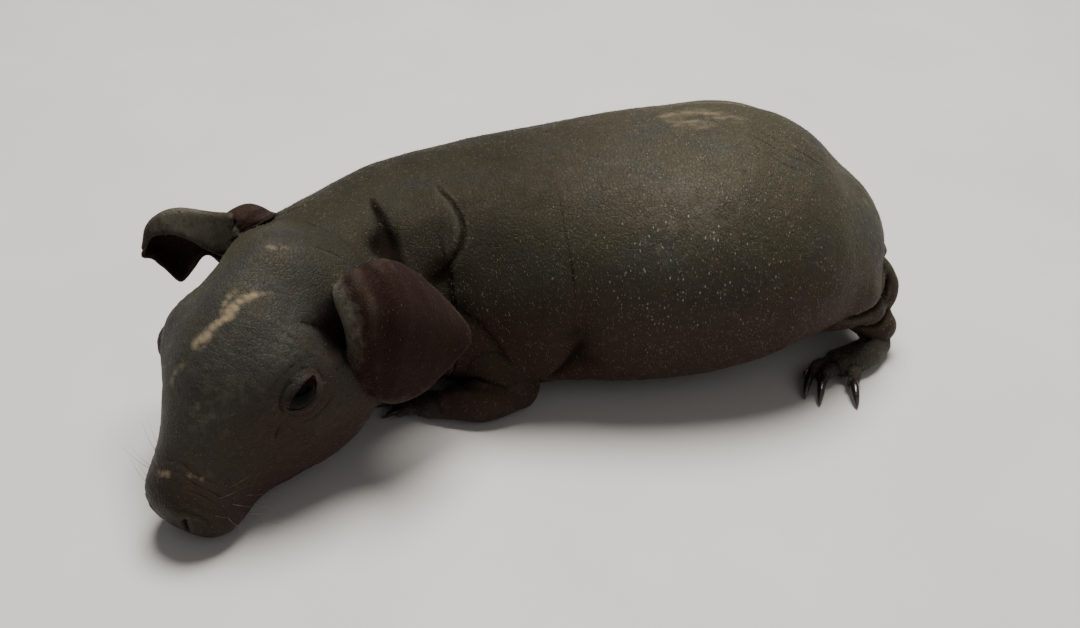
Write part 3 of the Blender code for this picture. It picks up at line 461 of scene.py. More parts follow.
# Limbs: each of one or more rods, as points of the middle line, then half width and half height
THIGH = (
    ((50, 7, 19, 11, 11), (62, 9.5, 15.5, 9, 8.2), (70.3, 11, 12, 6.6, 5.8), (75.3, 9.8, 6.6, 4, 4.2)),
    ((60.5, 8.5, 10.2, 1.2, 0.9), (68.6, 9.2, 9.4, 1.9, 1.5), (73, 9.6, 10.0, 2.3, 1.9),
     (76.0, 11.0, 12.5, 2.4, 2.0), (76.8, 12.2, 17, 2.2, 1.8), (72.0, 13.5, 24.5, 1.4, 1.2)),
    ((65.0, 12.5, 22, 8, 7), (71.0, 12.2, 17, 5.2, 5), (73.4, 11.2, 11, 3.2, 3.4)),
)
LIMBS = {
    "foreleg_left": (
        ((-12.5, -3.5, 20, 10, 10.5), (-9, -7.2, 12.5, 8, 8.2), (-6.5, -9.7, 7.5, 6.2, 6.2)),
        ((-5.5, -10.5, 6.2, 5.4, 5.6), (-12, -13.4, 4.8, 4.9, 4.9), (-18.6, -13.8, 3.8, 3.4, 3.4)),
    ),
    "foreleg_right": (
        ((-14.5, 27, 20, 10, 11), (-11, 31.5, 12.5, 8, 8.5), (-8.5, 34, 7.5, 6, 6)),
        ((-8.5, 34.5, 6, 5, 5.2), (-15, 35.2, 4.6, 4.6, 4.6), (-22.4, 35.2, 3.7, 3.3, 3.3)),
    ),
    "thigh_left": THIGH,
    "thigh_right": tuple(far_side(rod, THIGH_MIDDLE) for rod in THIGH),
}
HINDFOOT = ((75.7, 7.6, 3.2, 2.6, 3.0), (71.5, 3.8, 3.2, 3.5, 2.9), (65.8, 0.8, 3.0, 3.9, 2.6))
FEET = {
    "forefoot_left": (
        (-18.8, -13.8, 3.4, 3.1, 3.0), (-22, -12.9, 2.8, 3.4, 2.4), (-24.9, -11.9, 2.4, 3.4, 2.0),
    ),
    "forefoot_right": (
        (-22.6, 35.2, 3.4, 3.1, 3.0), (-26.5, 35.4, 2.8, 3.4, 2.4), (-30, 35.8, 2.4, 3.4, 2.0),
    ),
    "hindfoot_left": HINDFOOT,
    "hindfoot_right": far_side(HINDFOOT, THIGH_MIDDLE),
}
# Toes of each foot: root, knuckle and end, then the claw's tip
TOE_WIDTH = {"forefoot": 1.15, "hindfoot": 1.45}
HIND_TOES = (
    ((64.0, 1.6, 3.0), (60.6, -0.6, 3.4), (58.7, -2.2, 2.3), (56.9, -8.2, 0.5)),
    ((65.4, -0.6, 3.0), (62.6, -2.6, 3.5), (61.2, -4.0, 2.4), (59.7, -10.4, 0.5)),
    ((68.0, -0.6, 3.0), (68.2, -3.4, 3.4), (67.7, -5.2, 2.3), (67.6, -11.3, 0.5)),
)
TOES = {
    "forefoot_left": (
        ((-25.1, -13.9, 2.2), (-27.9, -14.3, 2.6), (-29.6, -14.4, 1.9), (-33.3, -14.6, 0.5)),
        ((-25.9, -12.4, 2.3), (-28.8, -12.0, 2.8), (-30.7, -11.7, 2.0), (-34.9, -11.0, 0.5)),
        ((-25.7, -10.8, 2.3), (-28.3, -9.8, 2.8), (-30.2, -9.1, 2.0), (-34.2, -7.7, 0.5)),
        ((-24.8, -9.8, 2.2), (-26.9, -8.4, 2.6), (-28.4, -7.4, 1.9), (-31.6, -5.4, 0.5)),
    ),
    "forefoot_right": (
        ((-30.2, 38.4, 2.2), (-32.0, 39.7, 2.6), (-33.4, 40.6, 1.9), (-36.8, 42.8, 0.5)),
        ((-31.2, 37.0, 2.3), (-34.0, 37.7, 2.8), (-35.9, 38.2, 2.0), (-40.2, 39.4, 0.5)),
        ((-31.4, 35.5, 2.3), (-34.2, 35.4, 2.8), (-36.2, 35.3, 2.0), (-40.7, 35.2, 0.5)),
        ((-30.8, 34.1, 2.2), (-33.2, 33.4, 2.6), (-34.8, 33.0, 1.9), (-38.5, 31.8, 0.5)),
    ),
    "hindfoot_left": HIND_TOES,
    "hindfoot_right": tuple(far_side(toe, TOE_MIDDLE) for toe in HIND_TOES),
}
# A toe's sections: half width and half height as shares of the toe's width
TOE_SECTIONS = ((1.15, 1.05), (0.98, 0.95), (1.1, 1.05), (0.9, 0.86), (0.92, 0.84))
# Claws: half width at the base, then size against it along the claw; depth in the toe, arch and height
CLAW_BASE = {"forefoot": 0.62, "hindfoot": 0.8}
CLAW_PROFILE = ((0, 0.96), (0.2, 1.16), (0.4, 1.2), (0.6, 1.06), (0.8, 0.8), (0.94, 0.46), (1.0, 0.22))
CLAW_SUNK, CLAW_ARCH, CLAW_TALL = 1.2, 0.1, 1.1


def along(knots, rows, at):
    """A smooth curve through one row of values for each knot, read at the given places."""
    knots, rows, at = (np.asarray(v, float) for v in (knots, rows, at))
    slopes = np.gradient(rows, knots, axis=0)
    i = np.clip(np.searchsorted(knots, at, side="right") - 1, 0, len(knots) - 2)
    step = (knots[i + 1] - knots[i])[:, None]
    u = ((at - knots[i]) / step[:, 0])[:, None]
    return (
        (2 * u**3 - 3 * u**2 + 1) * rows[i]
        + (u**3 - 2 * u**2 + u) * step * slopes[i]
        + (3 * u**2 - 2 * u**3) * rows[i + 1]
        + (u**3 - u**2) * step * slopes[i + 1]
    )


def unit(v):
    v = np.asarray(v, float)
    return v / np.linalg.norm(v, axis=-1, keepdims=True)


def distances(points):
    """How far along a line of points each of them lies."""
    return np.concatenate([[0], np.cumsum(np.linalg.norm(np.diff(points, axis=0), axis=1))])


def turns(sides):
    """Evenly spaced angles, one for each corner of a section."""
    return np.arange(sides) * 2 * math.pi / sides


def section(sides, width, top, bottom):
    """One closed section of the trunk: (across, up) of each corner, anticlockwise from +across."""
    angle = turns(sides)
    c, s = np.cos(angle), np.sin(angle)
    power = np.where(s >= 0, TOP_FULLNESS, BOTTOM_FULLNESS)
    across = width * np.sign(c) * np.abs(c) ** (2 / power)
    up = np.where(s >= 0, top, bottom) * np.sign(s) * np.abs(s) ** (2 / power)
    return across, up


def blunt_end(distance, reach, power):
    """Share of the full section at a distance from a closed, rounded end."""
    t = np.clip(np.asarray(distance, float) / reach, 0, 1)
    return (1 - (1 - t) ** power) ** (1 / power)


def end_places(reach, count):
    """Distances from a rounded end, close together near the end; the first is not quite zero."""
    turn = np.linspace(0, math.pi / 2, count + 1)[1:]
    return reach * (1 - np.cos(turn))


def trunk_grid(rings, sides):
    """Rings of the trunk, from the rump's round end to inside the head."""
    rows = np.array(TRUNK, float)
    knots = distances(rows[:, :2])
    length = knots[-1]
    near = end_places(RUMP_REACH, rings // 2)
    places = np.concatenate([near, np.linspace(RUMP_REACH, length, rings - rings // 2 + 1)[1:]])
    values = along(knots, rows, places)
    heading = unit(
        along(knots, rows[:, :2], np.clip(places + HEADING_STEP, 0, length))
        - along(knots, rows[:, :2], np.clip(places - HEADING_STEP, 0, length))
    )
    grid = []
    for place, row, (hx, hy) in zip(places, values, heading):
        x, y, level, width, top, bottom = row
        k = blunt_end(place, RUMP_REACH, RUMP_POWER)
        across, up = section(sides, width * k, top * k, bottom * k)
        grid.append(np.stack([x - hy * across, y + hx * across, level + up], axis=1))
    return np.array(grid)


def with_forms(points):
    """Raises the head's swellings and sinks its hollows."""
    ahead = np.minimum(points[..., 0], CORE_END)
    core = np.stack([ahead, 0 * ahead, 0 * ahead + CORE_LEVEL], axis=-1)
    outward = unit(points - core)
    moved = points.copy()
    for x, y, z, rx, ry, rz, height in HEAD_FORMS:
        for side in (1, -1) if y else (1,):
            share = (points - np.array([x, side * y, z])) / np.array([rx, ry, rz])
            moved += height * np.exp(-(share**2).sum(axis=-1))[..., None] * outward
    return moved


def head_surface(x, angle):
    """Points of the head's surface, in its own axes, at places along it and angles in radians around it."""
    rows = np.array(HEAD, float)
    x, angle = np.broadcast_arrays(np.asarray(x, float), np.asarray(angle, float))
    values = along(rows[:, 0], rows[:, 1:], x.ravel()).reshape(*x.shape, 5)
    width, top, level, bottom, fullness = np.moveaxis(values, -1, 0)
    k = blunt_end(rows[-1, 0] - x, MUZZLE_REACH, MUZZLE_POWER)
    c, s = np.cos(angle), np.sin(angle)
    power = 2 / np.where(s >= 0, fullness, HEAD_BOTTOM_FULLNESS)
    across = k * width * np.sign(c) * np.abs(c) ** power
    up = k * np.where(s >= 0, top - level, level - bottom) * np.sign(s) * np.abs(s) ** power
    return with_forms(np.stack([x, across, level + up], axis=-1))


def head_grid(rings, sides):
    first, last = HEAD[0][0], HEAD[-1][0]
    places = np.concatenate(
        [np.linspace(first, last - MUZZLE_REACH, rings), last - end_places(MUZZLE_REACH, 16)[::-1][1:]]
    )
    return head_surface(places[:, None], turns(sides)[None, :])


def head_matrix():
    yaw = Matrix.Rotation(math.radians(HEAD_YAW), 4, "Z")
    pitch = Matrix.Rotation(math.radians(HEAD_PITCH), 4, "Y")
    return np.array(Matrix.Translation(Vector(HEAD_ORIGIN)) @ yaw @ pitch)


def from_head(points):
    matrix = head_matrix()
    points = np.asarray(points, float)
    return points @ matrix[:3, :3].T + matrix[:3, 3]


def ear_sheet(side, rows, columns):
    """Middle sheet of one ear in world axes, as a grid of points."""
    net = np.array(EARS[side], float)
    count, width, _ = net.shape
    places = np.linspace(0, count - 1, rows)
    lines = along(np.arange(count), net.reshape(count, -1), places).reshape(rows, width, 3)
    lines = np.moveaxis(lines, 1, 0).reshape(width, -1)
    sheet = along(np.arange(width), lines, np.linspace(0, width - 1, columns))
    return np.moveaxis(sheet.reshape(columns, rows, 3), 0, 1)


def sheet_normals(points):
    du = np.gradient(points, axis=1)
    dv = np.gradient(points, axis=0)
    return unit(np.cross(dv, du))


def grid_faces(rings, sides):
    """Faces of a closed tube of rings, each anticlockwise seen from ahead, with a pole at either end."""
    faces = []
    for r in range(rings - 1):
        for s in range(sides):
            t = (s + 1) % sides
            faces.append((r * sides + s, r * sides + t, (r + 1) * sides + t, (r + 1) * sides + s))
    start, end = rings * sides, rings * sides + 1
    for s in range(sides):
        t = (s + 1) % sides
        faces.append((start, t, s))
        faces.append((end, (rings - 1) * sides + s, (rings - 1) * sides + t))
    return faces


def sweep_grid(points, rings, sides, caps=3):
    """Elliptical rings along a line of (x, y, z, half width, half height), with rounded ends."""
    rows = np.array(points, float)
    knots = distances(rows[:, :3])
    places = np.linspace(0, knots[-1], rings)
    values = along(knots, rows, places)
    centres, sizes = values[:, :3], values[:, 3:]
    tangent = unit(np.gradient(centres, places, axis=0))
    after = np.linspace(0, math.pi / 2, caps + 2)[1:-1]
    before = after[::-1]
    ahead = centres[-1] + tangent[-1] * min(sizes[-1]) * np.sin(after)[:, None]
    behind = centres[0] - tangent[0] * min(sizes[0]) * np.sin(before)[:, None]
    centres = np.concatenate([behind, centres, ahead])
    sizes = np.concatenate(
        [sizes[0] * np.cos(before)[:, None], sizes, sizes[-1] * np.cos(after)[:, None]]
    )
    tangent = np.concatenate(
        [np.repeat(tangent[:1], caps, axis=0), tangent, np.repeat(tangent[-1:], caps, axis=0)]
    )
    side = unit(np.cross(np.array([0, 0, 1.0]), tangent) + 1e-6)
    top = np.cross(tangent, side)
    angle = turns(sides)
    return (
        centres[:, None]
        + side[:, None] * (sizes[:, :1] * np.cos(angle))[..., None]
        + top[:, None] * (sizes[:, 1:2] * np.sin(angle))[..., None]
    )


def link(name, data):
    obj = bpy.data.objects.new(name, data)
    bpy.context.scene.collection.objects.link(obj)
    return obj


def make_object(name, points, faces):
    mesh = bpy.data.meshes.new(name)
    mesh.from_pydata(np.asarray(points).tolist(), [], [tuple(face) for face in faces])
    work = bmesh.new()
    work.from_mesh(mesh)
    bmesh.ops.recalc_face_normals(work, faces=work.faces[:])
    work.to_mesh(mesh)
    work.free()
    return link(name, mesh)


def tube(grid):
    """Points and faces of a closed tube of rings."""
    rings, sides, _ = grid.shape
    points = np.concatenate([grid.reshape(-1, 3), [grid[0].mean(axis=0), grid[-1].mean(axis=0)]])
    return points, grid_faces(rings, sides)


def read(items, name, width, kind=float):
    values = np.empty(len(items) * width, dtype=np.float32 if kind is float else np.int32)
    items.foreach_get(name, values)
    return values.reshape(-1, width).astype(kind)


def evaluated_mesh(obj):
    graph = bpy.context.evaluated_depsgraph_get()
    return bpy.data.meshes.new_from_object(obj.evaluated_get(graph))


def boolean(target, tool, operation):
    modifier = target.modifiers.new("cut", "BOOLEAN")
    modifier.operation = operation
    modifier.object = tool
    modifier.solver = "EXACT"
    mesh = evaluated_mesh(target)
    target.modifiers.clear()
    target.data = mesh
    bpy.data.objects.remove(tool)


# Parts that the skin is grown from

def ball_grid(rings, sides):
    """Unit ball about the x axis, as rings between two poles."""
    turn = np.linspace(0, math.pi, rings + 2)[1:-1]
    angle = turns(sides)
    return np.stack(
        [
            np.cos(turn)[:, None] * np.ones(sides),
            np.sin(turn)[:, None] * np.cos(angle),
            np.sin(turn)[:, None] * np.sin(angle),
        ],
        axis=-1,
    )


def lid_opening(side, sides=40):
    """A lens-shaped rod that opens the lids, pointed at either end of the eye."""
    look, length, height = eye_axes(side)
    angle = turns(sides)
    a = EYE_OPENING[0] * np.cos(angle)
    b = LID_GAP * EYE_OPENING[1] * np.sin(angle) * np.abs(np.sin(angle)) ** LID_TAPER
    grid = [
        eye_place(side) + look * reach + a[:, None] * spread * length + b[:, None] * spread * height
        for reach, spread in LID_SECTIONS
    ]
    return from_head(np.array(grid))


def eye_axes(side):
    """The way the eye looks, and the opening's long and short directions, in the head's axes."""
    look = unit([EYE_FACING[0], side * EYE_FACING[1], EYE_FACING[2]])
    length = unit(np.cross(np.cross(look, [1.0, 0, 0.03]), look))
    return look, length, np.cross(look, length)


def eye_place(side):
    return np.array([EYE_CENTRE[0], side * EYE_CENTRE[1], EYE_CENTRE[2]])


def head_with_sockets():
    head = make_object("head_form", *tube(from_head(head_grid(100, 120))))
    balls = ((EYE_RADIUS + LID_THICKNESS, "UNION"), (EYE_RADIUS + SOCKET_ROOM, "DIFFERENCE"))
    for side in (1, -1):
        centre = from_head(eye_place(side))
        for radius, operation in balls:
            ball = make_object("ball", *tube(ball_grid(30, 40) * radius + centre))
            boolean(head, ball, operation)
        boolean(head, make_object("opening", *tube(lid_opening(side))), "DIFFERENCE")
    points = read(head.data.vertices, "co", 3)
    faces = [tuple(p.vertices) for p in head.data.polygons]
    bpy.data.objects.remove(head)
    return points, faces


def ear_relief(side, from_root, across):
    """Height of the ear's outside: a hollow behind the rolled front edge, a ridge, veins and waves."""
    if side == "right":
        return 0.25 * np.sin(7 * across + 4 * from_root) * from_root
    sway = 0.04 * np.sin(5 * from_root)
    fade = np.clip(from_root / 0.25, 0, 1) * np.clip((1.1 - from_root) / 0.5, 0, 1)
    height = 0
    for place, width, amount in EAR_RIDGES:
        height = height + amount * fade * np.exp(-(((across - place - sway) / width) ** 2))
    for place, amount in EAR_VEINS:
        vein = np.exp(-(((across - place - 1.6 * sway) / EAR_VEIN_WIDTH) ** 2))
        height = height + amount * vein * np.sin(math.pi * from_root)
    return height + 0.3 * np.sin(9 * across + 2) * np.sin(3.5 * from_root) * from_root


def ear_piece(side):
    """A closed ear, thickest at its root and towards the rolled front edge."""
    middle = ear_sheet(side, rows=EAR_ROWS, columns=EAR_COLUMNS)
    from_root = np.linspace(0, 1, EAR_ROWS)[:, None]
    across = np.linspace(0, 1, EAR_COLUMNS)[None, :]
    middle = middle + sheet_normals(middle) * ear_relief(side, from_root, across)[..., None]
    edge = across if side == "left" else from_root
    roll = np.exp(-((edge / EAR_EDGE) ** 2)) * (1.2 - 0.9 * from_root if side == "left" else 0.3)
    thickness = EAR_THICKNESS * (1.0 - 0.32 * from_root + roll + 0 * across)
    return sheet_piece(middle, thickness)


def ear_shares(surface, parts):
    """How far each vertex belongs to an ear's rim, which takes a painted highlight, and to its inside, which
    takes painted shade.
    """
    rim_highlight, inside = np.zeros(surface.count), np.zeros(surface.count)
    for side, inward in (("left", -1), ("right", 1)):
        sheet = ear_sheet(side, COARSE_EAR_ROWS, COARSE_EAR_COLUMNS)
        from_root, across = np.meshgrid(
            np.linspace(0, 1, COARSE_EAR_ROWS), np.linspace(0, 1, COARSE_EAR_COLUMNS), indexing="ij"
        )
        own = np.nonzero(parts["ear_" + side])[0]
        points = surface.points[own]
        places, normals = sheet.reshape(-1, 3), sheet_normals(sheet).reshape(-1, 3)
        found = nearest(places, points, places, normals, from_root.ravel(), across.ravel())
        _, place, normal, down, over = found
        edge = np.minimum(np.minimum(over, 1 - over) * 1.4, 1 - down)
        roll = np.exp(-(((over - EAR_ROLL) / EAR_ROLL) ** 4)) * np.clip((1.0 - down) / 0.5, 0, 1)
        share = np.maximum(0.3 * np.exp(-((edge / EAR_RIM_WIDTH) ** 2)), roll)
        rim_highlight[own] = share
        height = ((points - place) * normal).sum(axis=1)
        inside[own] = np.clip(0.5 + 1.5 * inward * height, 0, 1) * (1 - share)
    return rim_highlight, inside


def sheet_piece(middle, thickness):
    """Points and faces of a closed sheet around a grid of points, with a rounded edge."""
    rows, cols, _ = middle.shape
    normal = sheet_normals(middle)
    shift = normal * thickness[..., None] / 2
    half = rows * cols
    faces = []
    for r in range(rows - 1):
        for c in range(cols - 1):
            i, j, k, m = r * cols + c, r * cols + c + 1, (r + 1) * cols + c + 1, (r + 1) * cols + c
            faces.append((i, j, k, m))
            faces.append((half + i, half + m, half + k, half + j))
    ring = [(0, c) for c in range(cols)] + [(r, cols - 1) for r in range(1, rows)]
    ring += [(rows - 1, c) for c in range(cols - 2, -1, -1)] + [(r, 0) for r in range(rows - 2, 0, -1)]
    extra = []
    for r, c in ring:
        inside = middle[min(max(r, 1), rows - 2), min(max(c, 1), cols - 2)]
        extra.append(middle[r, c] + unit(middle[r, c] - inside) * thickness[r, c] * 0.45)
    ring = [r * cols + c for r, c in ring]
    base = 2 * half
    for n in range(len(ring)):
        m = (n + 1) % len(ring)
        faces.append((ring[n], base + n, base + m, ring[m]))
        faces.append((base + n, half + ring[n], half + ring[m], base + m))
    points = np.concatenate([(middle + shift).reshape(-1, 3), (middle - shift).reshape(-1, 3), extra])
    return points, faces


def toe_rows(name):
    """Rods of a foot's toes: points with half width and half height."""
    width = TOE_WIDTH[name.split("_")[0]]
    for root, knuckle, end, _ in TOES[name]:
        root, knuckle, end = (np.array(p, float) for p in (root, knuckle, end))
        places = (root, (root + knuckle) / 2, knuckle, (knuckle + end) / 2, end)
        yield [(*place, width * wide, width * tall) for place, (wide, tall) in zip(places, TOE_SECTIONS)]


def skin_pieces():
    """Name, points and faces of each part under the skin."""
    yield ("trunk", *tube(trunk_grid(rings=200, sides=180)))
    yield ("head", *head_with_sockets())
    for side in ("left", "right"):
        yield ("ear_" + side, *ear_piece(side))
    for rod in EAR_FOLDS:
        yield ("ear_right", *tube(sweep_grid(rod, rings=24, sides=28)))
    for name, rods in LIMBS.items():
        for rod in rods:
            yield (name, *tube(sweep_grid(rod, rings=44, sides=56, caps=10)))
    for name, rod in FEET.items():
        yield (name, *tube(sweep_grid(rod, rings=24, sides=36, caps=8)))
        for rows in toe_rows(name):
            yield (name, *tube(sweep_grid(rows, rings=24, sides=24, caps=6)))


# The skin's surface

class Surface:
    """A closed mesh as arrays, with the smoothing and measuring that shaping it needs."""

    def __init__(self, mesh):
        self.mesh = mesh
        mesh.calc_loop_triangles()
        self.points = read(mesh.vertices, "co", 3)
        self.corners = read(mesh.loop_triangles, "vertices", 3, int)
        edges = read(mesh.edges, "vertices", 2, int)
        self.a, self.b = edges[:, 0], edges[:, 1]
        self.count = len(self.points)
        self.degree = self.gather(np.ones(len(edges)))

    def gather(self, on_edges, a_values=None, b_values=None):
        """Sum over each vertex's edges of a weight, times the value at the other end if there is one."""
        to_a = on_edges if b_values is None else on_edges * b_values
        to_b = on_edges if a_values is None else on_edges * a_values
        return np.bincount(self.a, to_a, self.count) + np.bincount(self.b, to_b, self.count)

    def spread(self, values, weight):
        """Sum of the neighbours' rows of values, each times the edge's weight."""
        columns = [self.gather(weight, v[self.a], v[self.b]) for v in values.T]
        return np.stack(columns, axis=1)

    def neighbour_mean(self, values):
        flat = values.reshape(self.count, -1)
        mean = self.spread(flat, np.ones(len(self.a))) / self.degree[:, None]
        return mean.reshape(values.shape)

    def normals(self):
        p = self.points[self.corners]
        face = np.cross(p[:, 1] - p[:, 0], p[:, 2] - p[:, 0])
        total = [sum(np.bincount(self.corners[:, k], axis, self.count) for k in range(3)) for axis in face.T]
        return unit(np.stack(total, axis=1) + 1e-12)

    def smooth(self, times, amount=None):
        """Evens the surface out without shrinking it; amount is each vertex's share."""
        share = np.ones(self.count) if amount is None else amount
        for _ in range(times):
            for step in (SMOOTHING, -SMOOTHING - SMOOTHING_BACK):
                self.points += (self.neighbour_mean(self.points) - self.points) * (share * step)[:, None]

    def relaxed(self, reach, rounds=50):
        """The points after a diffusion that reaches as many edge lengths as each vertex's value."""
        stiffness = reach**2
        weight = (stiffness[self.a] + stiffness[self.b]) / 2
        diagonal = (1 + self.gather(weight))[:, None]
        answer = self.points.copy()
        residual = self.points - (diagonal * answer - self.spread(answer, weight))
        direction = residual / diagonal
        product = (residual * direction).sum()
        for _ in range(rounds):
            image = diagonal * direction - self.spread(direction, weight)
            step = product / (direction * image).sum()
            answer += step * direction
            residual -= step * image
            scaled = residual / diagonal
            following = (residual * scaled).sum()
            direction = scaled + direction * (following / product)
            product = following
        return answer

    def even_normals(self, times=6):
        """Normals averaged over the neighbourhood, so that the sides of a deep groove don't cross."""
        normals = self.normals()
        for _ in range(times):
            normals = self.neighbour_mean(normals)
        return unit(normals + 1e-12)

    def raise_by(self, height):
        self.points += self.even_normals() * height[:, None]


def nearest(points, targets, *values):
    """For each target, the distance to the nearest point and that point's values."""
    tree = KDTree(len(points))
    for i, point in enumerate(points):
        tree.insert(point, i)
    tree.balance()
    found = [tree.find(target)[1:] for target in targets]
    index = np.array([i for i, _ in found])
    distance = np.array([d for _, d in found])
    return (distance, *(np.asarray(v)[index] for v in values))


def joined_surface():
    """One closed surface around all the parts, with the number of the part that each vertex lies on."""
    pieces = list(skin_pieces())
    names = list(dict.fromkeys(name for name, _, _ in pieces))
    points, faces, labels = [], [], []
    start = 0
    for name, piece_points, piece_faces in pieces:
        piece_points = piece_points.copy()
        piece_points[:, 2] = np.maximum(piece_points[:, 2], 0)
        points.append(piece_points)
        faces += [tuple(i + start for i in face) for face in piece_faces]
        labels += [names.index(name)] * len(piece_points)
        start += len(piece_points)
    points = np.concatenate(points)
    obj = make_object("skin", points, faces)
    modifier = obj.modifiers.new("remesh", "REMESH")
    modifier.mode = "VOXEL"
    modifier.voxel_size = VOXEL
    obj.data = evaluated_mesh(obj)
    obj.modifiers.clear()
    obj = largest_part(obj)
    surface = Surface(obj.data)
    _, label = nearest(points, surface.points, labels)
    return obj, surface, {name: (label == i).astype(float) for i, name in enumerate(names)}


def largest_part(obj):
    """Splits off what isn't joined to the rest and keeps the piece with most vertices."""
    bpy.ops.object.select_all(action="DESELECT")
    obj.select_set(True)
    bpy.context.view_layer.objects.active = obj
    bpy.ops.mesh.separate(type="LOOSE")
    pieces = sorted(bpy.context.selected_objects, key=lambda o: len(o.data.vertices))
    for piece in pieces[:-1]:
        bpy.data.objects.remove(piece)
    return pieces[-1]


def join_reach(first, second):
    """How far, in millimetres, the skin is drawn smooth where two parts meet."""
    kinds = {first.split("_")[0], second.split("_")[0]}
    if "ear" in kinds:
        return EAR_JOIN
    if kinds & {"forefoot", "hindfoot"}:
        return FOOT_JOIN
    return NAPE_JOIN if "head" in kinds else LEG_JOIN


def lid_skirt(surface):
    """How far each vertex lies in the ring around a lid where it meets the head."""
    points = in_head(surface.points)
    share = np.zeros(surface.count)
    for side in (1, -1):
        look, length, height = eye_axes(side)
        offset = points - eye_place(side)
        distance = np.linalg.norm(offset, axis=1)
        opening = np.hypot(offset @ length / EYE_OPENING[0], offset @ height / EYE_OPENING[1])
        opening = np.where(offset @ look > 0, opening, 9)
        ring = np.exp(-(((distance - LID_RING) / LID_RING_WIDTH) ** 2))
        share += ring * np.clip((opening - 1.1) / 0.4, 0, 1)
    return share


def draw_joins_smooth(surface, parts):
    """Fills the sharp valleys where parts meet, as skin stretches over them, and evens out the nape."""
    names = list(parts)
    label = np.argmax(np.stack([parts[n] for n in names], axis=1), axis=1)
    crossing = label[surface.a] != label[surface.b]
    ends = np.stack([surface.a[crossing], surface.b[crossing]], axis=1)
    reach = np.zeros(surface.count)
    for i, j in ends:
        value = join_reach(names[label[i]], names[label[j]])
        reach[i] = max(reach[i], value)
        reach[j] = max(reach[j], value)
    seeds = np.nonzero(reach)[0]
    distance, seed_reach = nearest(surface.points[seeds], surface.points, reach[seeds])
    ears = parts["ear_left"] + parts["ear_right"]
    seed_reach = np.where(ears > 0.5, np.minimum(seed_reach, EAR_JOIN), seed_reach)
    share = np.exp(-((distance / (1.3 * seed_reach)) ** 2))
    skirt = lid_skirt(surface)
    smooth = surface.relaxed(0.3 + np.maximum(seed_reach * share, LID_JOIN * skirt) / VOXEL)
    normals = surface.normals()
    outward = ((smooth - surface.points) * normals).sum(axis=1)
    inward_share = share * (seed_reach == NAPE_JOIN)
    surface.points += normals * (np.maximum(outward, 0) + inward_share * np.minimum(outward, 0))[:, None]
    surface.smooth(6, 0.25 + 0.75 * np.maximum(share, 0.8 * skirt))


def curve_through(line, step=0.7):
    """Evenly spaced points of a smooth curve through a few."""
    line = np.array(line, float)
    knots = distances(line)
    count = max(int(knots[-1] / step), 3)
    return along(knots, line, np.linspace(0, knots[-1], count))


def crease_height(surface, normals, line, width, depth, first, second, spread=0, growth=0):
    """A groove along a line, widening by its growth, with a swelling on either side, a spread away."""
    spread = spread or 2 * width
    curve = curve_through(line)
    reach = 3 * width + 4 * spread
    low, high = curve.min(axis=0) - reach, curve.max(axis=0) + reach
    near = np.nonzero(((surface.points > low) & (surface.points < high)).all(axis=1))[0]
    points, normal = surface.points[near], normals[near]
    best = np.full(len(near), np.inf)
    across = np.zeros(len(near))
    off_surface = np.zeros(len(near))
    past_end = np.zeros(len(near))
    share = np.zeros(len(near))
    count = len(curve) - 1
    for i in range(count):
        run = curve[i + 1] - curve[i]
        length = np.linalg.norm(run)
        tangent = run / length
        offset = points - curve[i]
        t = np.clip(offset @ tangent, 0, length)
        offset = offset - t[:, None] * tangent
        distance = (offset**2).sum(axis=1)
        closer = distance < best
        best = np.where(closer, distance, best)
        sideways = unit(np.cross(tangent, normal) + 1e-9)
        across = np.where(closer, (offset * sideways).sum(axis=1), across)
        off_surface = np.where(closer, (offset * normal).sum(axis=1), off_surface)
        past_end = np.where(closer, offset @ tangent, past_end)
        share = np.where(closer, (i + t / length) / count, share)
    fade = np.clip(4 * share, 0, 1) * np.clip(4 * (1 - share), 0, 1)
    fade = fade**2 * (3 - 2 * fade) * np.exp(-((past_end / (width + spread)) ** 2))
    fade *= np.exp(-((off_surface / (spread + width + 1)) ** 2))
    size = 1 + growth * (2 * share - 1)
    groove = -depth * np.sqrt(size) * np.exp(-(np.abs(across / (width * size)) ** 1.5))
    away = np.abs(across) / spread
    swelling = np.where(across > 0, first, second) * away * np.exp(1 - away)
    height = np.zeros(surface.count)
    height[near] = (groove + swelling) * fade
    return height


def on_head(places, side=1):
    """World points of places (x, angle in degrees) on the head's surface, mirrored for the right side."""
    rows = np.array(places, float)
    points = head_surface(rows[:, 0], np.radians(rows[:, 1]))
    points[:, 1] *= side
    return from_head(points)


def lattice(cells, seed):
    """One fixed value from -1 to 1 for each whole-number place."""
    n = cells[..., 0] * 374761393 + cells[..., 1] * 668265263 + cells[..., 2] * 1274126177 + seed * 144665
    n = (n ^ (n >> 13)) * 1103515245
    n = n ^ (n >> 16)
    return (n & 0xFFFF) / 32767.5 - 1


def value_noise(points, seed):
    """Smooth noise from -1 to 1 with features one unit across."""
    cell = np.floor(points).astype(np.int64)
    u = points - cell
    u = u * u * (3 - 2 * u)
    total = 0
    for dx in (0, 1):
        for dy in (0, 1):
            for dz in (0, 1):
                share = np.abs(1 - dx - u[:, 0]) * np.abs(1 - dy - u[:, 1]) * np.abs(1 - dz - u[:, 2])
                total = total + share * lattice(cell + np.array([dx, dy, dz]), seed)
    return total


def in_head(points):
    matrix = head_matrix()
    return (points - matrix[:3, 3]) @ matrix[:3, :3]


def falloff(points, centre, reach):
    return np.exp(-(((points - np.array(centre, float)) / reach) ** 2).sum(axis=1))


def on_one_side(head_points):
    """Places in the head's axes, those on its right brought over to its left."""
    return head_points * np.array([1, 0, 1]) + np.abs(head_points) * np.array([0, 1, 0])


def ear_hollow_share(points):
    middle, reach, _ = EAR_HOLLOW
    return falloff(on_one_side(in_head(points)), middle, reach)


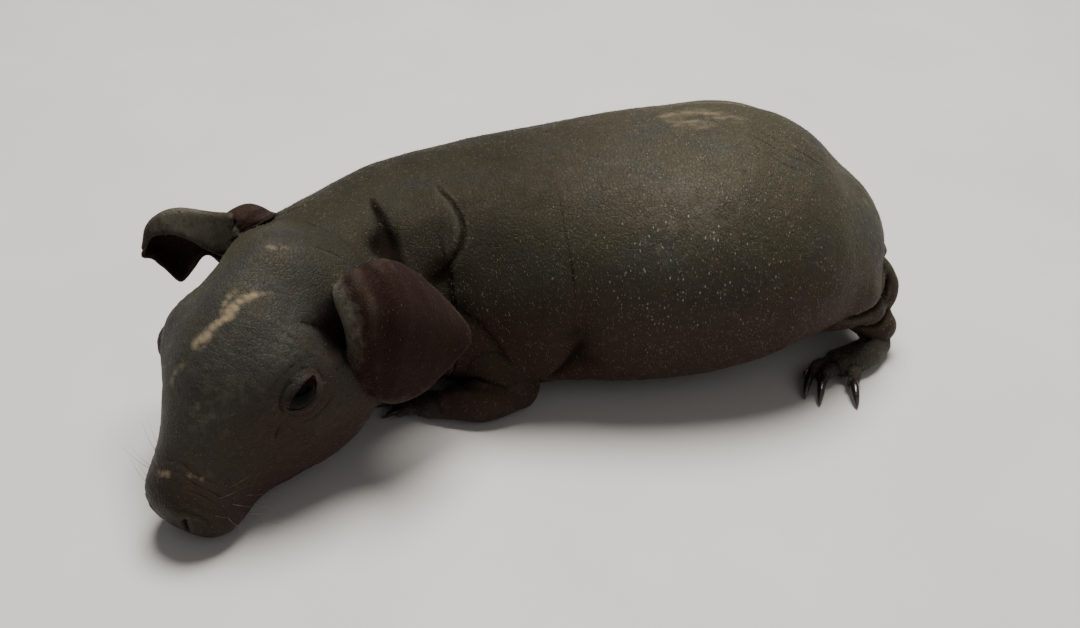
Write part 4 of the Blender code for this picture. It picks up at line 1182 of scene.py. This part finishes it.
def press_forms(surface, parts):
    """Broad swellings and hollows first, then the creases; returns how deep in a fold each vertex lies."""
    broad = np.zeros(surface.count)
    for _, centre, reach, amount in TRUNK_FORMS:
        broad += amount * falloff(surface.points, centre, reach)
    broad += EAR_HOLLOW[2] * ear_hollow_share(surface.points)
    ears = parts["ear_left"] + parts["ear_right"]
    surface.raise_by(broad * (1 - ears))
    normals = surface.normals()
    height = np.zeros(surface.count)
    for _, line, width, depth, first, second in TRUNK_CREASES:
        height += crease_height(surface, normals, line, width, depth, first, second)
    for _, line, width, depth, side, rise, reach in NECK_FOLDS:
        rolls = (rise, 0) if side == 1 else (0, rise)
        height += crease_height(surface, normals, line, width, depth, *rolls, reach, growth=0.65)
    for _, pair, places, width, depth, first, second in HEAD_CREASES:
        for side in (1, -1)[:pair]:
            lips = (first, second) if side == 1 else (second, first)
            height += crease_height(surface, normals, on_head(places, side), width, depth, *lips)
    for line, width, depth, first, second in EYE_CREASES:
        for side in (1, -1):
            points = from_head(np.array(line) * np.array([1, side, 1]))
            height += crease_height(surface, normals, points, width, depth, first, second)
    surface.raise_by(height * (1 - ears))
    surface.smooth(3)
    return np.clip(-(height + 0.5 * np.minimum(broad, 0)) / 1.6, 0, 1) * (1 - ears)


def relief(kind, places, shift=0):
    """One kind of noise in the fine relief at each place."""
    amount, size, seed = RELIEF[kind]
    return amount * value_noise(places / np.array(size) + shift, seed)


def fading(values, start, end):
    """A share that is 0 at the start value and before, and 1 at the end value and beyond."""
    return np.clip((values - start) / (end - start), 0, 1)


def grooves(across, spacing, width):
    """Parallel grooves at even spacing: 1 at the bottom of each, fading to either side."""
    return np.exp(-((np.sin(across * math.pi / spacing) / width) ** 2))


def wrinkle_height(surface, parts):
    """Small relief: wrinkles round the trunk, over the rump and across the muzzle, and soft unevenness."""
    points = surface.points
    head_points = in_head(points)
    x, y, z = head_points.T
    trunk, head = parts["trunk"], parts["head"]
    ears = parts["ear_left"] + parts["ear_right"]

    height = relief("dents", points) + relief("pebbles", points)
    bands = relief("bands", points, relief("sway of the bands", points)[:, None])
    height += trunk * BAND_HEIGHT * (1 - np.abs(bands) * BAND_NARROWNESS)
    height += falloff(points, *NECK_AREA) * trunk * relief("neck", points)

    slant = points @ unit(RUMP_SLANT) + relief("sway of the rump", points)
    depth = 0.5 + relief("depth of the rump", points)
    height -= falloff(points, *RUMP_AREA) * RUMP_WRINKLES[2] * depth * grooves(slant, *RUMP_WRINKLES[:2])
    muzzle = np.exp(-(((x - MUZZLE_MIDDLE) / MUZZLE_BREADTH) ** 2)) * fading(z, *MUZZLE_TOP) * head
    across = x + 0.25 * np.sin(y * 0.9) + relief("sway of the muzzle", head_points)
    depth = MUZZLE_WRINKLES[2] + relief("depth of the muzzle", head_points)
    height -= muzzle * depth * grooves(across, *MUZZLE_WRINKLES[:2])

    brow = falloff(on_one_side(head_points), *BROW_AREA)
    lines = relief("brow", head_points, BROW_SHIFT)
    height += head * (HEAD_LINE_HEIGHT + BROW_LINE_HEIGHT * brow) * lines
    height += head * falloff(np.abs(head_points), *CHEEK_AREA) * relief("cheek", head_points)
    eyelids = sum(falloff(head_points, eye_place(side), LID_REACH) for side in (1, -1))
    height *= 1 - 0.75 * np.clip(eyelids, 0, 1)
    return height * (1 - ears) + ears * relief("ears", points)


def line_share(points, line, width):
    """How near each point is to a line: 1 on it, fading over the width."""
    curve = curve_through(line, step=1.0)
    best = np.full(len(points), np.inf)
    for place in curve:
        best = np.minimum(best, ((points - place) ** 2).sum(axis=1))
    return np.exp(-best / width**2)


def add_attribute(mesh, name, values):
    attribute = mesh.attributes.new(name, "FLOAT", "POINT")
    attribute.data.foreach_set("value", np.asarray(values, np.float32))


def skin_marks(surface, parts, fold):
    """Values for the skin's material: thin ears, their painted rim highlight and inside shade, dry tan
    patches, crests and folds, and painted shade and light on the body.
    """
    points = surface.points
    smooth = points
    for _ in range(5):
        smooth = surface.neighbour_mean(smooth)
    crest = ((points - smooth) * surface.normals()).sum(axis=1)
    head_points = in_head(points)
    tan = np.zeros(surface.count)
    for line, width, strength in TAN_ON_TRUNK:
        tan = np.maximum(tan, strength * line_share(points, line, width))
    for line, width, strength in TAN_ON_HEAD:
        tan = np.maximum(tan, strength * line_share(head_points, line, width))
    ears = parts["ear_left"] + parts["ear_right"]
    for _ in range(8):
        ears = surface.neighbour_mean(ears)
    # Pale mottling; on the trunk it also paints a pool of light over the upper flank
    ash_and_light = falloff(points, *ASH_AND_LIGHT_ON_TRUNK) + 0.6 * falloff(head_points, *ASH_ON_HEAD)
    specks = sum(falloff(points, *area) for area in SPECK_AREAS)
    feet = sum(parts[name] for name in FEET)
    rim_highlight, inside = (surface.neighbour_mean(surface.neighbour_mean(v)) for v in ear_shares(surface, parts))
    # The hollow in front of each ear takes the same painted shade as an ear's inside
    inside = np.maximum(inside, 0.8 * ear_hollow_share(points))
    facing_up = surface.even_normals(20)[:, 2]
    # Painted shade: more of it near the floor and the less the skin faces up, and below each eye
    underside_shade = np.maximum(SHADE_AT_FLOOR - points[:, 2] / SHADE_HEIGHT, SHADE_ON_WALL - SHADE_TURN * facing_up)
    for side in (1, -1):
        (ahead, out, up), reach, strength = SHADE_BELOW_EYE
        below_eye = eye_place(side) + np.array([ahead, out * side, up])
        underside_shade = np.maximum(underside_shade, strength * falloff(head_points, below_eye, reach))
        distance, reach, strength = LID_SHADE
        lids = falloff(head_points, eye_place(side) + distance * eye_axes(side)[0], reach)
        fold = np.maximum(fold, strength * lids)
    body = fading(head_points[:, 0], *BODY_RANGE) * (1 - ears)
    return {
        "ear": ears,
        "rim_highlight": rim_highlight,
        "inside": inside,
        "tan": np.clip(tan, 0, 1),
        "crest": crest / CREST_HEIGHT,
        "ash_and_light": np.clip(ash_and_light, 0, 1),
        "specks": np.clip(specks, 0, 1),
        "feet": feet,
        "muzzle": parts["head"] * fading(head_points[:, 0], *NOSE_RANGE),
        "underside_shade": np.clip(underside_shade, 0, 1),
        "body": body,
        "front": body * fading(points[:, 0], *FRONT_RANGE),
        # Depth in a fold or between the lids, where the material paints shade and takes off the shine
        "fold": surface.neighbour_mean(fold),
    }


def to_row(points):
    """Millimetres in the part's own axes to metres in the frame of the solids."""
    return np.asarray(points) * MM + ROW_SHIFT


def build_skin():
    obj, surface, parts = joined_surface()
    surface.smooth(5)
    draw_joins_smooth(surface, parts)
    fold = press_forms(surface, parts)
    surface.raise_by(wrinkle_height(surface, parts))
    surface.points[:, 2] = np.where(surface.points[:, 2] < FLOOR_REACH, 0, surface.points[:, 2])
    marks = skin_marks(surface, parts, fold)
    surface.bare = marks["fold"]
    obj.data.vertices.foreach_set("co", to_row(surface.points).astype(np.float32).ravel())
    for name, values in marks.items():
        add_attribute(obj.data, name, values)
    modifier = obj.modifiers.new("decimate", "DECIMATE")
    modifier.ratio = KEPT_SHARE
    obj.data = evaluated_mesh(obj)
    obj.modifiers.clear()
    obj.name = "skin"
    obj.data.shade_smooth()
    obj.data.materials.clear()
    obj.data.materials.append(skin_material())
    return obj, surface, parts


# Eyes and claws

def build_eye(side_name, side):
    """An eyeball with a raised cornea, turned to look the way the lids face."""
    look, length, height = eye_axes(side)
    points, faces = tube(ball_grid(60, 72))
    points[-2], points[-1] = (1, 0, 0), (-1, 0, 0)
    turn = np.arccos(np.clip(points[:, 0], -1, 1))
    radius = (EYE_RADIUS + EYE_FILL) * (1 + CORNEA_RISE * np.exp(-((turn / 0.6) ** 2)))
    axes = np.stack([look, length, height])
    places = eye_place(side) + (points * radius[:, None]) @ axes
    obj = make_object("eyeball_" + side_name, to_row(from_head(places)), faces)
    add_attribute(obj.data, "turn", turn)
    add_attribute(obj.data, "round", np.arctan2(points[:, 2], points[:, 1]))
    return obj


def build_claw(foot, number, toe):
    """A tapered, slightly arched claw, its base sunk in the toe."""
    _, _, end, tip = (np.array(p, float) for p in toe)
    base = CLAW_BASE[foot.split("_")[0]]
    ahead = unit(tip - end)
    start = end - ahead * CLAW_SUNK
    length = np.linalg.norm(tip - start)
    rows = []
    for share, size in CLAW_PROFILE:
        arch = CLAW_ARCH * length * math.sin(math.pi * share)
        place = start + (tip - start) * share + np.array([0, 0, arch])
        rows.append((*place, base * size, base * size * CLAW_TALL))
    points, faces = tube(sweep_grid(rows, rings=26, sides=20, caps=5))
    obj = make_object("claw_%s_%d" % (foot, number), to_row(points), faces)
    add_attribute(obj.data, "along", np.clip(((points - start) @ ahead) / length, 0, 1))
    return obj


# Hairs

def hair_lie(surface, parts):
    """The way that hair lies at each vertex: back and down on the trunk, away from the nose on the head."""
    matrix = head_matrix()
    lie = parts["trunk"][:, None] * np.array(TRUNK_LIE)
    lie = lie + parts["head"][:, None] * (-matrix[:3, 0] - 0.35 * matrix[:3, 2])
    lie = lie + (parts["ear_left"] + parts["ear_right"])[:, None] * np.array(EAR_LIE)
    for name in LIMBS:
        lie = lie + parts[name][:, None] * np.array(LIMB_LIE)
    for name, toes in TOES.items():
        ahead = np.mean([np.subtract(toe[2], toe[0]) for toe in toes], axis=0)
        lie = lie + parts[name][:, None] * unit(ahead)
    return lie


def unwrapped(points, parts, names):
    """A place in the square for each point: each part is unrolled about its long axis into its own field."""
    uv = np.zeros((len(points), 2))
    for name in names:
        inside = parts[name] > 0.5
        low_u, low_v, high_u, high_v = ATLAS[name.split("_")[0]]
        if name.endswith("_right"):
            low_u, high_u = high_u + ATLAS_GAP, 2 * high_u - low_u + ATLAS_GAP
        local = points[inside] - points[inside].mean(axis=0)
        axis = np.linalg.eigh(local.T @ local)[1][:, ::-1]
        turned = local @ axis
        u = (turned[:, 0] - turned[:, 0].min()) / np.ptp(turned[:, 0])
        v = np.arctan2(turned[:, 2], turned[:, 1]) / (2 * math.pi) + 0.5
        uv[inside] = np.stack([low_u + u * (high_u - low_u), low_v + v * (high_v - low_v)], axis=1)
    return uv


def lay_out(obj, places):
    """Gives a coat piece its layout on the unrolled body, from one place for each vertex."""
    loops = read(obj.data.loops, "vertex_index", 1, int)[:, 0]
    layer = obj.data.uv_layers.new(name="OFBake")
    layer.data.foreach_set("uv", places[loops].astype(np.float32).ravel())


def build_hairs(name, surface, parts, kinds, draw):
    """Sparse fine hairs, each a closed three-sided spike that lies nearly flat."""
    normals = surface.normals()
    lie = hair_lie(surface, parts)
    uv = unwrapped(surface.points, parts, [p for kind in kinds for p in parts if p.startswith(kind)])
    corners = surface.corners
    p = surface.points[corners]
    area = np.linalg.norm(np.cross(p[:, 1] - p[:, 0], p[:, 2] - p[:, 0]), axis=1) / 2
    density, length, width = np.zeros(surface.count), np.ones(surface.count), np.ones(surface.count)
    for kind in kinds:
        per_area, long, wide = HAIRS[kind]
        for part, inside in parts.items():
            if part.startswith(kind):
                density += per_area * inside
                length = np.where(inside > 0.5, long, length)
                width = np.where(inside > 0.5, wide, width)
    density *= (surface.points[:, 2] > BARE_BELOW) * (1 - surface.bare)
    chance = area * density[corners].min(axis=1)
    count = int(chance.sum())
    chosen = draw.choice(len(area), count, p=chance / chance.sum())
    mix = draw.dirichlet((1, 1, 1), count)
    owner = corners[chosen]

    def blend(values):
        return (values[owner] * mix[:, :, None]).sum(axis=1)

    root, normal, way = blend(surface.points), unit(blend(normals)), blend(lie)
    way = unit(way + draw.normal(0, HAIR_STRAY, (count, 3)))
    way = unit(way - (way * normal).sum(axis=1)[:, None] * normal + 1e-6)
    side = np.cross(normal, way)
    long = length[owner[:, 0]] * draw.uniform(*HAIR_LENGTHS, count)
    wide = width[owner[:, 0]] * draw.uniform(*HAIR_WIDTHS, count)
    lift = draw.uniform(*HAIR_LIFT, count)
    rings = []
    for share, rise, size in HAIR_SECTIONS:
        centre = root + way * (long * share)[:, None]
        height = rise if share == 0 else lift * long * rise
        centre = centre + normal * np.broadcast_to(height, count)[:, None]
        if size == 0:
            rings.append(centre[:, None])
            continue
        for angle in turns(3) + math.pi / 2:
            offset = side * math.cos(angle) + normal * math.sin(angle)
            rings.append((centre + offset * (wide / 2 * size)[:, None])[:, None])
    points = np.concatenate(rings, axis=1).reshape(-1, 3)
    first = np.arange(count) * len(HAIR_CORNERS)
    faces = [tuple(f) for shape in HAIR_FACES for f in (first[:, None] + np.array(shape)).tolist()]
    obj = make_object(name, to_row(points), faces)
    lay_out(obj, (uv[owner[:, 0]][:, None] + np.array(HAIR_CORNERS) * PATCH).reshape(-1, 2))
    return obj


def build_whiskers(draw):
    """Fine curved whiskers in rows on either side of the muzzle."""
    points, faces, uvs = [], [], []
    for side in (1, -1):
        for x, angle, length in WHISKERS:
            root = on_head(((x, angle),), side)[0]
            centre = from_head(np.array(WHISKER_CENTRE))
            out = unit(root - centre)
            back = -head_matrix()[:3, 0]
            way = unit(out + back * draw.uniform(*WHISKER_SWEEP) + draw.normal(0, WHISKER_STRAY, 3))
            length = length * draw.uniform(*WHISKER_LENGTHS)
            rows = []
            for share in (0, 0.25, 0.5, 0.75, 1.0):
                droop = np.array([0, 0, WHISKER_DROOP * length * share**2])
                bend = back * WHISKER_BEND * length * share**2 - droop
                place = root - out * WHISKER_SUNK + way * length * share + bend
                size = WHISKER_WIDTH * (1 - 0.8 * share)
                rows.append((*place, size, size))
            piece_points, piece_faces = tube(sweep_grid(rows, rings=14, sides=5, caps=1))
            start = sum(len(p) for p in points)
            points.append(piece_points)
            faces += [tuple(i + start for i in face) for face in piece_faces]
            across = np.linspace(0, PATCH, len(piece_points))
            low_u, low_v, high_u, high_v = ATLAS["head"]
            u = low_u + (high_u - low_u) * (x / 60) + across
            v = low_v + (high_v - low_v) * (0.5 + side * (angle + 90) / 400) + across
            uvs.append(np.stack([u, v], axis=1))
    obj = make_object("whiskers", to_row(np.concatenate(points)), faces)
    lay_out(obj, np.concatenate(uvs))
    return obj


# Materials

class Shade:
    """A Principled material built node by node; sizes are in millimetres."""

    def __init__(self, name):
        self.material = bpy.data.materials.new(name)
        self.material.use_nodes = True
        self.tree = self.material.node_tree
        self.shader = self.tree.nodes["Principled BSDF"]
        self.place = self.node("ShaderNodeTexCoord").outputs["Object"]
        self.colour = None

    def put(self, socket, value):
        if isinstance(value, bpy.types.NodeSocket):
            self.tree.links.new(value, socket)
        else:
            socket.default_value = value

    def node(self, kind, inputs=(), **settings):
        node = self.tree.nodes.new(kind)
        for name, value in settings.items():
            setattr(node, name, value)
        for key, value in dict(inputs).items():
            self.put(node.inputs[key], value)
        return node

    def set(self, **values):
        for name, value in values.items():
            self.put(self.shader.inputs[name.replace("_", " ")], value)

    def attribute(self, name):
        return self.node("ShaderNodeAttribute", attribute_name=name).outputs["Fac"]

    def stretched(self, stretch):
        if stretch == (1, 1, 1):
            return self.place
        scale = tuple(1 / s for s in stretch)
        return self.node("ShaderNodeMapping", {"Vector": self.place, "Scale": scale}).outputs["Vector"]

    def noise(self, size, detail=3.0, roughness=0.55, stretch=(1, 1, 1), distortion=0.0):
        inputs = {"Vector": self.stretched(stretch), "Scale": 1 / (size * MM), "Detail": detail,
                  "Roughness": roughness, "Distortion": distortion}
        return self.node("ShaderNodeTexNoise", inputs).outputs["Fac"]

    def cells(self, size, feature="F1", stretch=(1, 1, 1), output="Distance"):
        inputs = {"Vector": self.stretched(stretch), "Scale": 1 / (size * MM)}
        return self.node("ShaderNodeTexVoronoi", inputs, feature=feature).outputs[output]

    def ramp(self, value, low, high, low_to=0.0, high_to=1.0):
        inputs = {"Value": value, "From Min": low, "From Max": high, "To Min": low_to, "To Max": high_to}
        return self.node("ShaderNodeMapRange", inputs, interpolation_type="SMOOTHSTEP").outputs["Result"]

    def math(self, operation, a, b=0.0):
        return self.node("ShaderNodeMath", {0: a, 1: b}, operation=operation).outputs["Value"]

    def times(self, *values):
        product = values[0]
        for value in values[1:]:
            product = self.math("MULTIPLY", product, value)
        return product

    def plus(self, *values):
        total = values[0]
        for value in values[1:]:
            total = self.math("ADD", total, value)
        return total

    def mix(self, factor, a, b):
        a, b = (v if isinstance(v, bpy.types.NodeSocket) else (*v, 1) for v in (a, b))
        return self.node("ShaderNodeMix", {0: factor, 6: a, 7: b}, data_type="RGBA").outputs[2]

    def scattered(self, size, stretch):
        """Distance to the nearest of many places, and a random share that each of them has."""
        distance = self.cells(size, stretch=stretch)
        hue = self.cells(size, stretch=stretch, output="Color")
        return distance, self.node("ShaderNodeSeparateColor", {0: hue}).outputs[0]

    def paint(self, share, colour):
        """Lays a share of a colour over the one so far."""
        self.colour = self.mix(share, self.colour, colour)

    def bump(self, height):
        """Relief of a height in millimetres."""
        inputs = {"Height": height, "Distance": MM, "Strength": 1.0}
        self.put(self.shader.inputs["Normal"], self.node("ShaderNodeBump", inputs).outputs["Normal"])


def skin_material():
    s = Shade("skin_looks")
    ear, rim_highlight, inside = (s.attribute(n) for n in ("ear", "rim_highlight", "inside"))
    tan, crest, fold = (s.attribute(n) for n in ("tan", "crest", "fold"))
    ash_and_light, specks, feet, muzzle = (s.attribute(n) for n in ("ash_and_light", "specks", "feet", "muzzle"))
    body, front, underside_shade = (s.attribute(n) for n in ("body", "front", "underside_shade"))
    broad = s.noise(13, detail=4)
    middle = s.noise(3.4, detail=4, roughness=0.65)
    mottle = s.noise(1.8, detail=3, roughness=0.6)
    fine = s.noise(0.8, detail=3, roughness=0.7)
    lines = s.noise(1.1, detail=2, roughness=0.6, stretch=(1, 5, 5), distortion=0.3)
    plates = s.cells(0.75, feature="DISTANCE_TO_EDGE", stretch=(1, 1.5, 1.5))
    pores = s.cells(0.9)
    flake_place, flake_share = s.scattered(0.85, (1, 1.9, 1.9))
    grain_place, grain_share = s.scattered(0.5, (1, 1.6, 1.6))

    s.colour = s.mix(s.ramp(s.plus(broad, s.times(body, 0.13)), 0.44, 0.66), GREY, OLIVE)
    s.paint(s.times(s.ramp(middle, 0.5, 0.74), 0.6), BROWN)
    # Painted shade over the front of the body, patchy with the broad noise
    s.paint(s.times(front, s.ramp(broad, 0.3, 0.7, 0.5, 0.95)), FRONT_SHADE)
    # Painted shade, tinged red, on the underside and below the eyes
    s.paint(s.times(underside_shade, 0.85), UNDERSIDE_SHADE)
    # Pale mottling, stronger on the upper flank, where it paints a pool of light, and weaker towards the
    # front
    pale = s.plus(s.times(ash_and_light, 0.2), s.times(middle, 0.5), s.times(mottle, 0.5))
    s.paint(s.times(s.ramp(pale, 0.54, 0.84), s.ramp(front, 0, 1, 0.75, 0.4)), ASH)
    # The ears' reddish brown, darkened as painted shade
    s.paint(s.times(ear, 0.85), EAR_SHADED_BROWN)
    # Painted highlight along each ear's rolled front edge and rim, made ragged by the noise
    ragged_rim_highlight = s.plus(rim_highlight, s.times(mottle, 0.9), s.times(middle, 0.5), -0.7)
    s.paint(s.ramp(ragged_rim_highlight, 0.15, 1.15, 0, 0.85), EAR_RIM_HIGHLIGHT)
    # Painted shade on the inside of the ears and in the hollow in front of each
    s.paint(s.times(inside, 0.85), EAR_INSIDE_SHADE)
    s.paint(s.times(muzzle, 0.8), NOSE)
    s.paint(s.times(feet, 0.7), FOOT)
    s.paint(s.ramp(fine, 0.44, 0.32, 0, 0.55), DARK)
    # Painted shade: darker in the skin's hollows
    s.paint(s.ramp(crest, -0.2, -1.6, 0, 0.8), DARK)
    s.paint(s.times(s.ramp(crest, 0.4, 2.2, 0, 0.2), s.ramp(fold, 0.3, 0)), ASH)
    # Painted shade in the folds and between the lids
    s.paint(s.ramp(fold, 0, 0.7, 0, 0.92), DARK)

    strands = s.noise(2.6, detail=4, roughness=0.6, stretch=(4, 1, 1), distortion=0.6)
    ragged = s.plus(s.times(tan, 0.85), s.times(mottle, 0.45), s.times(strands, 0.9), -0.7)
    dry = s.times(s.ramp(ragged, 0.1, 0.85, 0, 0.85), s.ramp(tan, 0.02, 0.2))
    s.paint(dry, TAN)
    scaly = s.times(body, s.ramp(front, 0, 1, 1, 0.25), s.ramp(fold, 0.4, 0))
    patchy = s.ramp(s.noise(5, detail=3), 0.35, 0.62, 0.25, 1)
    flake = s.times(
        s.ramp(flake_place, 0.22, 0.1), s.ramp(flake_share, 0.45, 0.7), s.ramp(specks, 0, 1, 0.12, 0.8),
        scaly,
    )
    grain = s.times(
        s.ramp(grain_place, 0.28, 0.12), s.ramp(grain_share, 0.4, 0.95, 0, 0.5), patchy,
        s.plus(s.times(scaly, 0.9), 0.1),
    )
    s.paint(s.math("MAXIMUM", flake, grain), FLAKE)

    roughness = s.plus(s.ramp(middle, 0.3, 0.7, 0.54, 0.68), s.times(dry, 0.15), s.times(muzzle, -0.08))
    s.bump(s.plus(
        s.times(s.ramp(plates, 0.0, 0.16), s.ramp(dry, 0, 0.5, 0.055, 0.012)),
        s.times(s.ramp(pores, 0.0, 0.22), 0.03),
        s.times(lines, 0.05),
        s.times(mottle, 0.07),
        s.times(s.noise(0.35, detail=2), 0.05),
        s.times(flake, 0.05),
        s.times(dry, s.noise(0.25, detail=2), 0.1),
    ))
    shine = s.times(
        s.ramp(ash_and_light, 0, 1, 0.2, 0.22), s.ramp(front, 0, 1, 1, 0.5), s.ramp(ear, 0, 1, 1, 0.35),
        s.ramp(underside_shade, 0, 1, 1, 0.55), s.ramp(fold, 0, 0.6, 1, 0),
    )
    s.set(
        Base_Color=s.colour, Roughness=roughness, Specular_IOR_Level=shine, Subsurface_Weight=0.12,
        Subsurface_Radius=(1.0, 0.35, 0.2), Subsurface_Scale=0.0012, Specular_Tint=(1.0, 0.9, 0.75, 1.0),
        Sheen_Weight=0.03, Sheen_Roughness=0.45,
    )
    return s.material


def eye_material():
    s = Shade("eye_looks")
    turn, around = s.attribute("turn"), s.attribute("round")
    fibre = s.node("ShaderNodeCombineXYZ", {"X": s.times(turn, 3.0), "Y": s.times(around, 9.0)}).outputs[0]
    streaks = s.node("ShaderNodeTexNoise", {"Vector": fibre, "Scale": 2.5, "Detail": 3.0}).outputs["Fac"]
    iris = s.mix(s.ramp(streaks, 0.35, 0.65), IRIS_DARK, IRIS_BROWN)
    s.colour = s.mix(s.ramp(turn, 0.42, 0.5), PUPIL, iris)
    s.paint(s.ramp(turn, 0.82, 0.98), EYE_WHITE)
    s.set(Base_Color=s.colour, Roughness=s.ramp(s.noise(0.8), 0.3, 0.7, 0.03, 0.08))
    s.bump(s.times(s.noise(1.4), 0.006))
    s.set(Specular_IOR_Level=0.08, IOR=1.38)
    return s.material


def claw_material():
    s = Shade("claw_looks")
    length = s.attribute("along")
    streaks = s.noise(0.3, detail=3, stretch=(1, 6, 1))
    s.colour = s.mix(s.ramp(streaks, 0.3, 0.7), CLAW_BLACK, CLAW_BROWN)
    s.paint(s.ramp(length, 0.72, 1.0, 0, 0.7), CLAW_TIP)
    s.set(Base_Color=s.colour, Roughness=s.ramp(streaks, 0.3, 0.7, 0.14, 0.3))
    s.bump(s.plus(s.times(streaks, 0.03), s.times(s.noise(0.9), 0.03)))
    s.set(Coat_Weight=0.5, Coat_Roughness=0.1, Subsurface_Weight=0.05, Subsurface_Scale=0.001)
    return s.material


def hair_material(name, pale, dark):
    s = Shade(name)
    colour = s.mix(s.ramp(s.noise(2.0, detail=3), 0.35, 0.65), pale, dark)
    s.set(Base_Color=colour, Roughness=s.ramp(s.noise(0.7), 0.3, 0.7, 0.3, 0.5))
    s.bump(s.times(s.noise(0.2), 0.01))
    return s.material


def floor_material():
    s = Shade("floor_looks")
    colour = s.mix(s.ramp(s.noise(60), 0.3, 0.7), FLOOR_PALE, FLOOR_SHADE)
    s.set(Base_Color=colour, Roughness=s.ramp(s.noise(25), 0.3, 0.7, 0.55, 0.68))
    s.bump(s.times(s.noise(1.2, detail=2), 0.02))
    return s.material


# Stage

def build_floor():
    size = FLOOR_HALF
    corners = [(-size, -size, 0), (size, -size, 0), (size, size, 0), (-size, size, 0)]
    floor = make_object("floor", corners, [(0, 1, 2, 3)])
    floor.data.materials.append(floor_material())
    return floor


def build_light(name, place, size, power, colour):
    light = bpy.data.lights.new(name, "AREA")
    light.shape = "DISK"
    light.size = size
    light.energy = power
    light.color = colour
    obj = link(name, light)
    obj.location = place
    obj.rotation_euler = (Vector(LIGHT_TARGET) - Vector(place)).to_track_quat("-Z", "Y").to_euler()


def build_world():
    world = bpy.data.worlds.new("studio")
    world.use_nodes = True
    background = world.node_tree.nodes["Background"]
    background.inputs["Color"].default_value = (*WORLD_COLOUR, 1)
    background.inputs["Strength"].default_value = WORLD_STRENGTH
    bpy.context.scene.world = world


def build_camera():
    camera = bpy.data.cameras.new("camera")
    camera.sensor_width = SENSOR
    camera.lens = FOCAL_PIXELS * SENSOR / PHOTO_WIDTH
    camera.clip_start = 0.01
    obj = link("camera", camera)
    elevation = math.radians(CAMERA_ELEVATION)
    back = np.array([0, -math.cos(elevation), math.sin(elevation)]) * CAMERA_DISTANCE
    obj.location = to_row(np.array(CAMERA_TARGET) + back)
    obj.rotation_euler = (math.pi / 2 - elevation, 0, 0)
    bpy.context.scene.camera = obj


def dress(obj, slot, material, *nodes):
    """Gives a piece its material, ties it to the still body and hides the solids that it stands for."""
    if material is not None:
        obj.data.materials.clear()
        obj.data.materials.append(material)
    obj.data.shade_smooth()
    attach(obj, "root")
    if nodes:
        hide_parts(*nodes)


def eye_middle():
    low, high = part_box("eye_left")
    return (np.array(low) + np.array(high)) / 2


ROW_SHIFT = eye_middle() - from_head(eye_place(1)) * MM

skin, surface, parts = build_skin()
dress(skin, "skin", None, *FLESH)
eye_looks = eye_material()
for side_name, side in (("left", 1), ("right", -1)):
    dress(build_eye(side_name, side), "eye", eye_looks, "eye_" + side_name)
claw_looks = claw_material()
for foot, toes in TOES.items():
    for number, toe in enumerate(toes, 1):
        dress(build_claw(foot, number, toe), "claw", claw_looks, "%s_claw_%d" % (foot, number))
draw = np.random.default_rng(HAIR_SEED)
fine_hair = hair_material("hair_looks", HAIR_PALE, HAIR_DARK)
for name, kinds in COATS.items():
    dress(build_hairs(name, surface, parts, kinds, draw), "skin", fine_hair)
dress(build_whiskers(draw), "skin", hair_material("whisker_looks", WHISKER_PALE, WHISKER_DARK))
build_camera()
build_world()
for light in LIGHTS:
    build_light(*light)
build_floor()
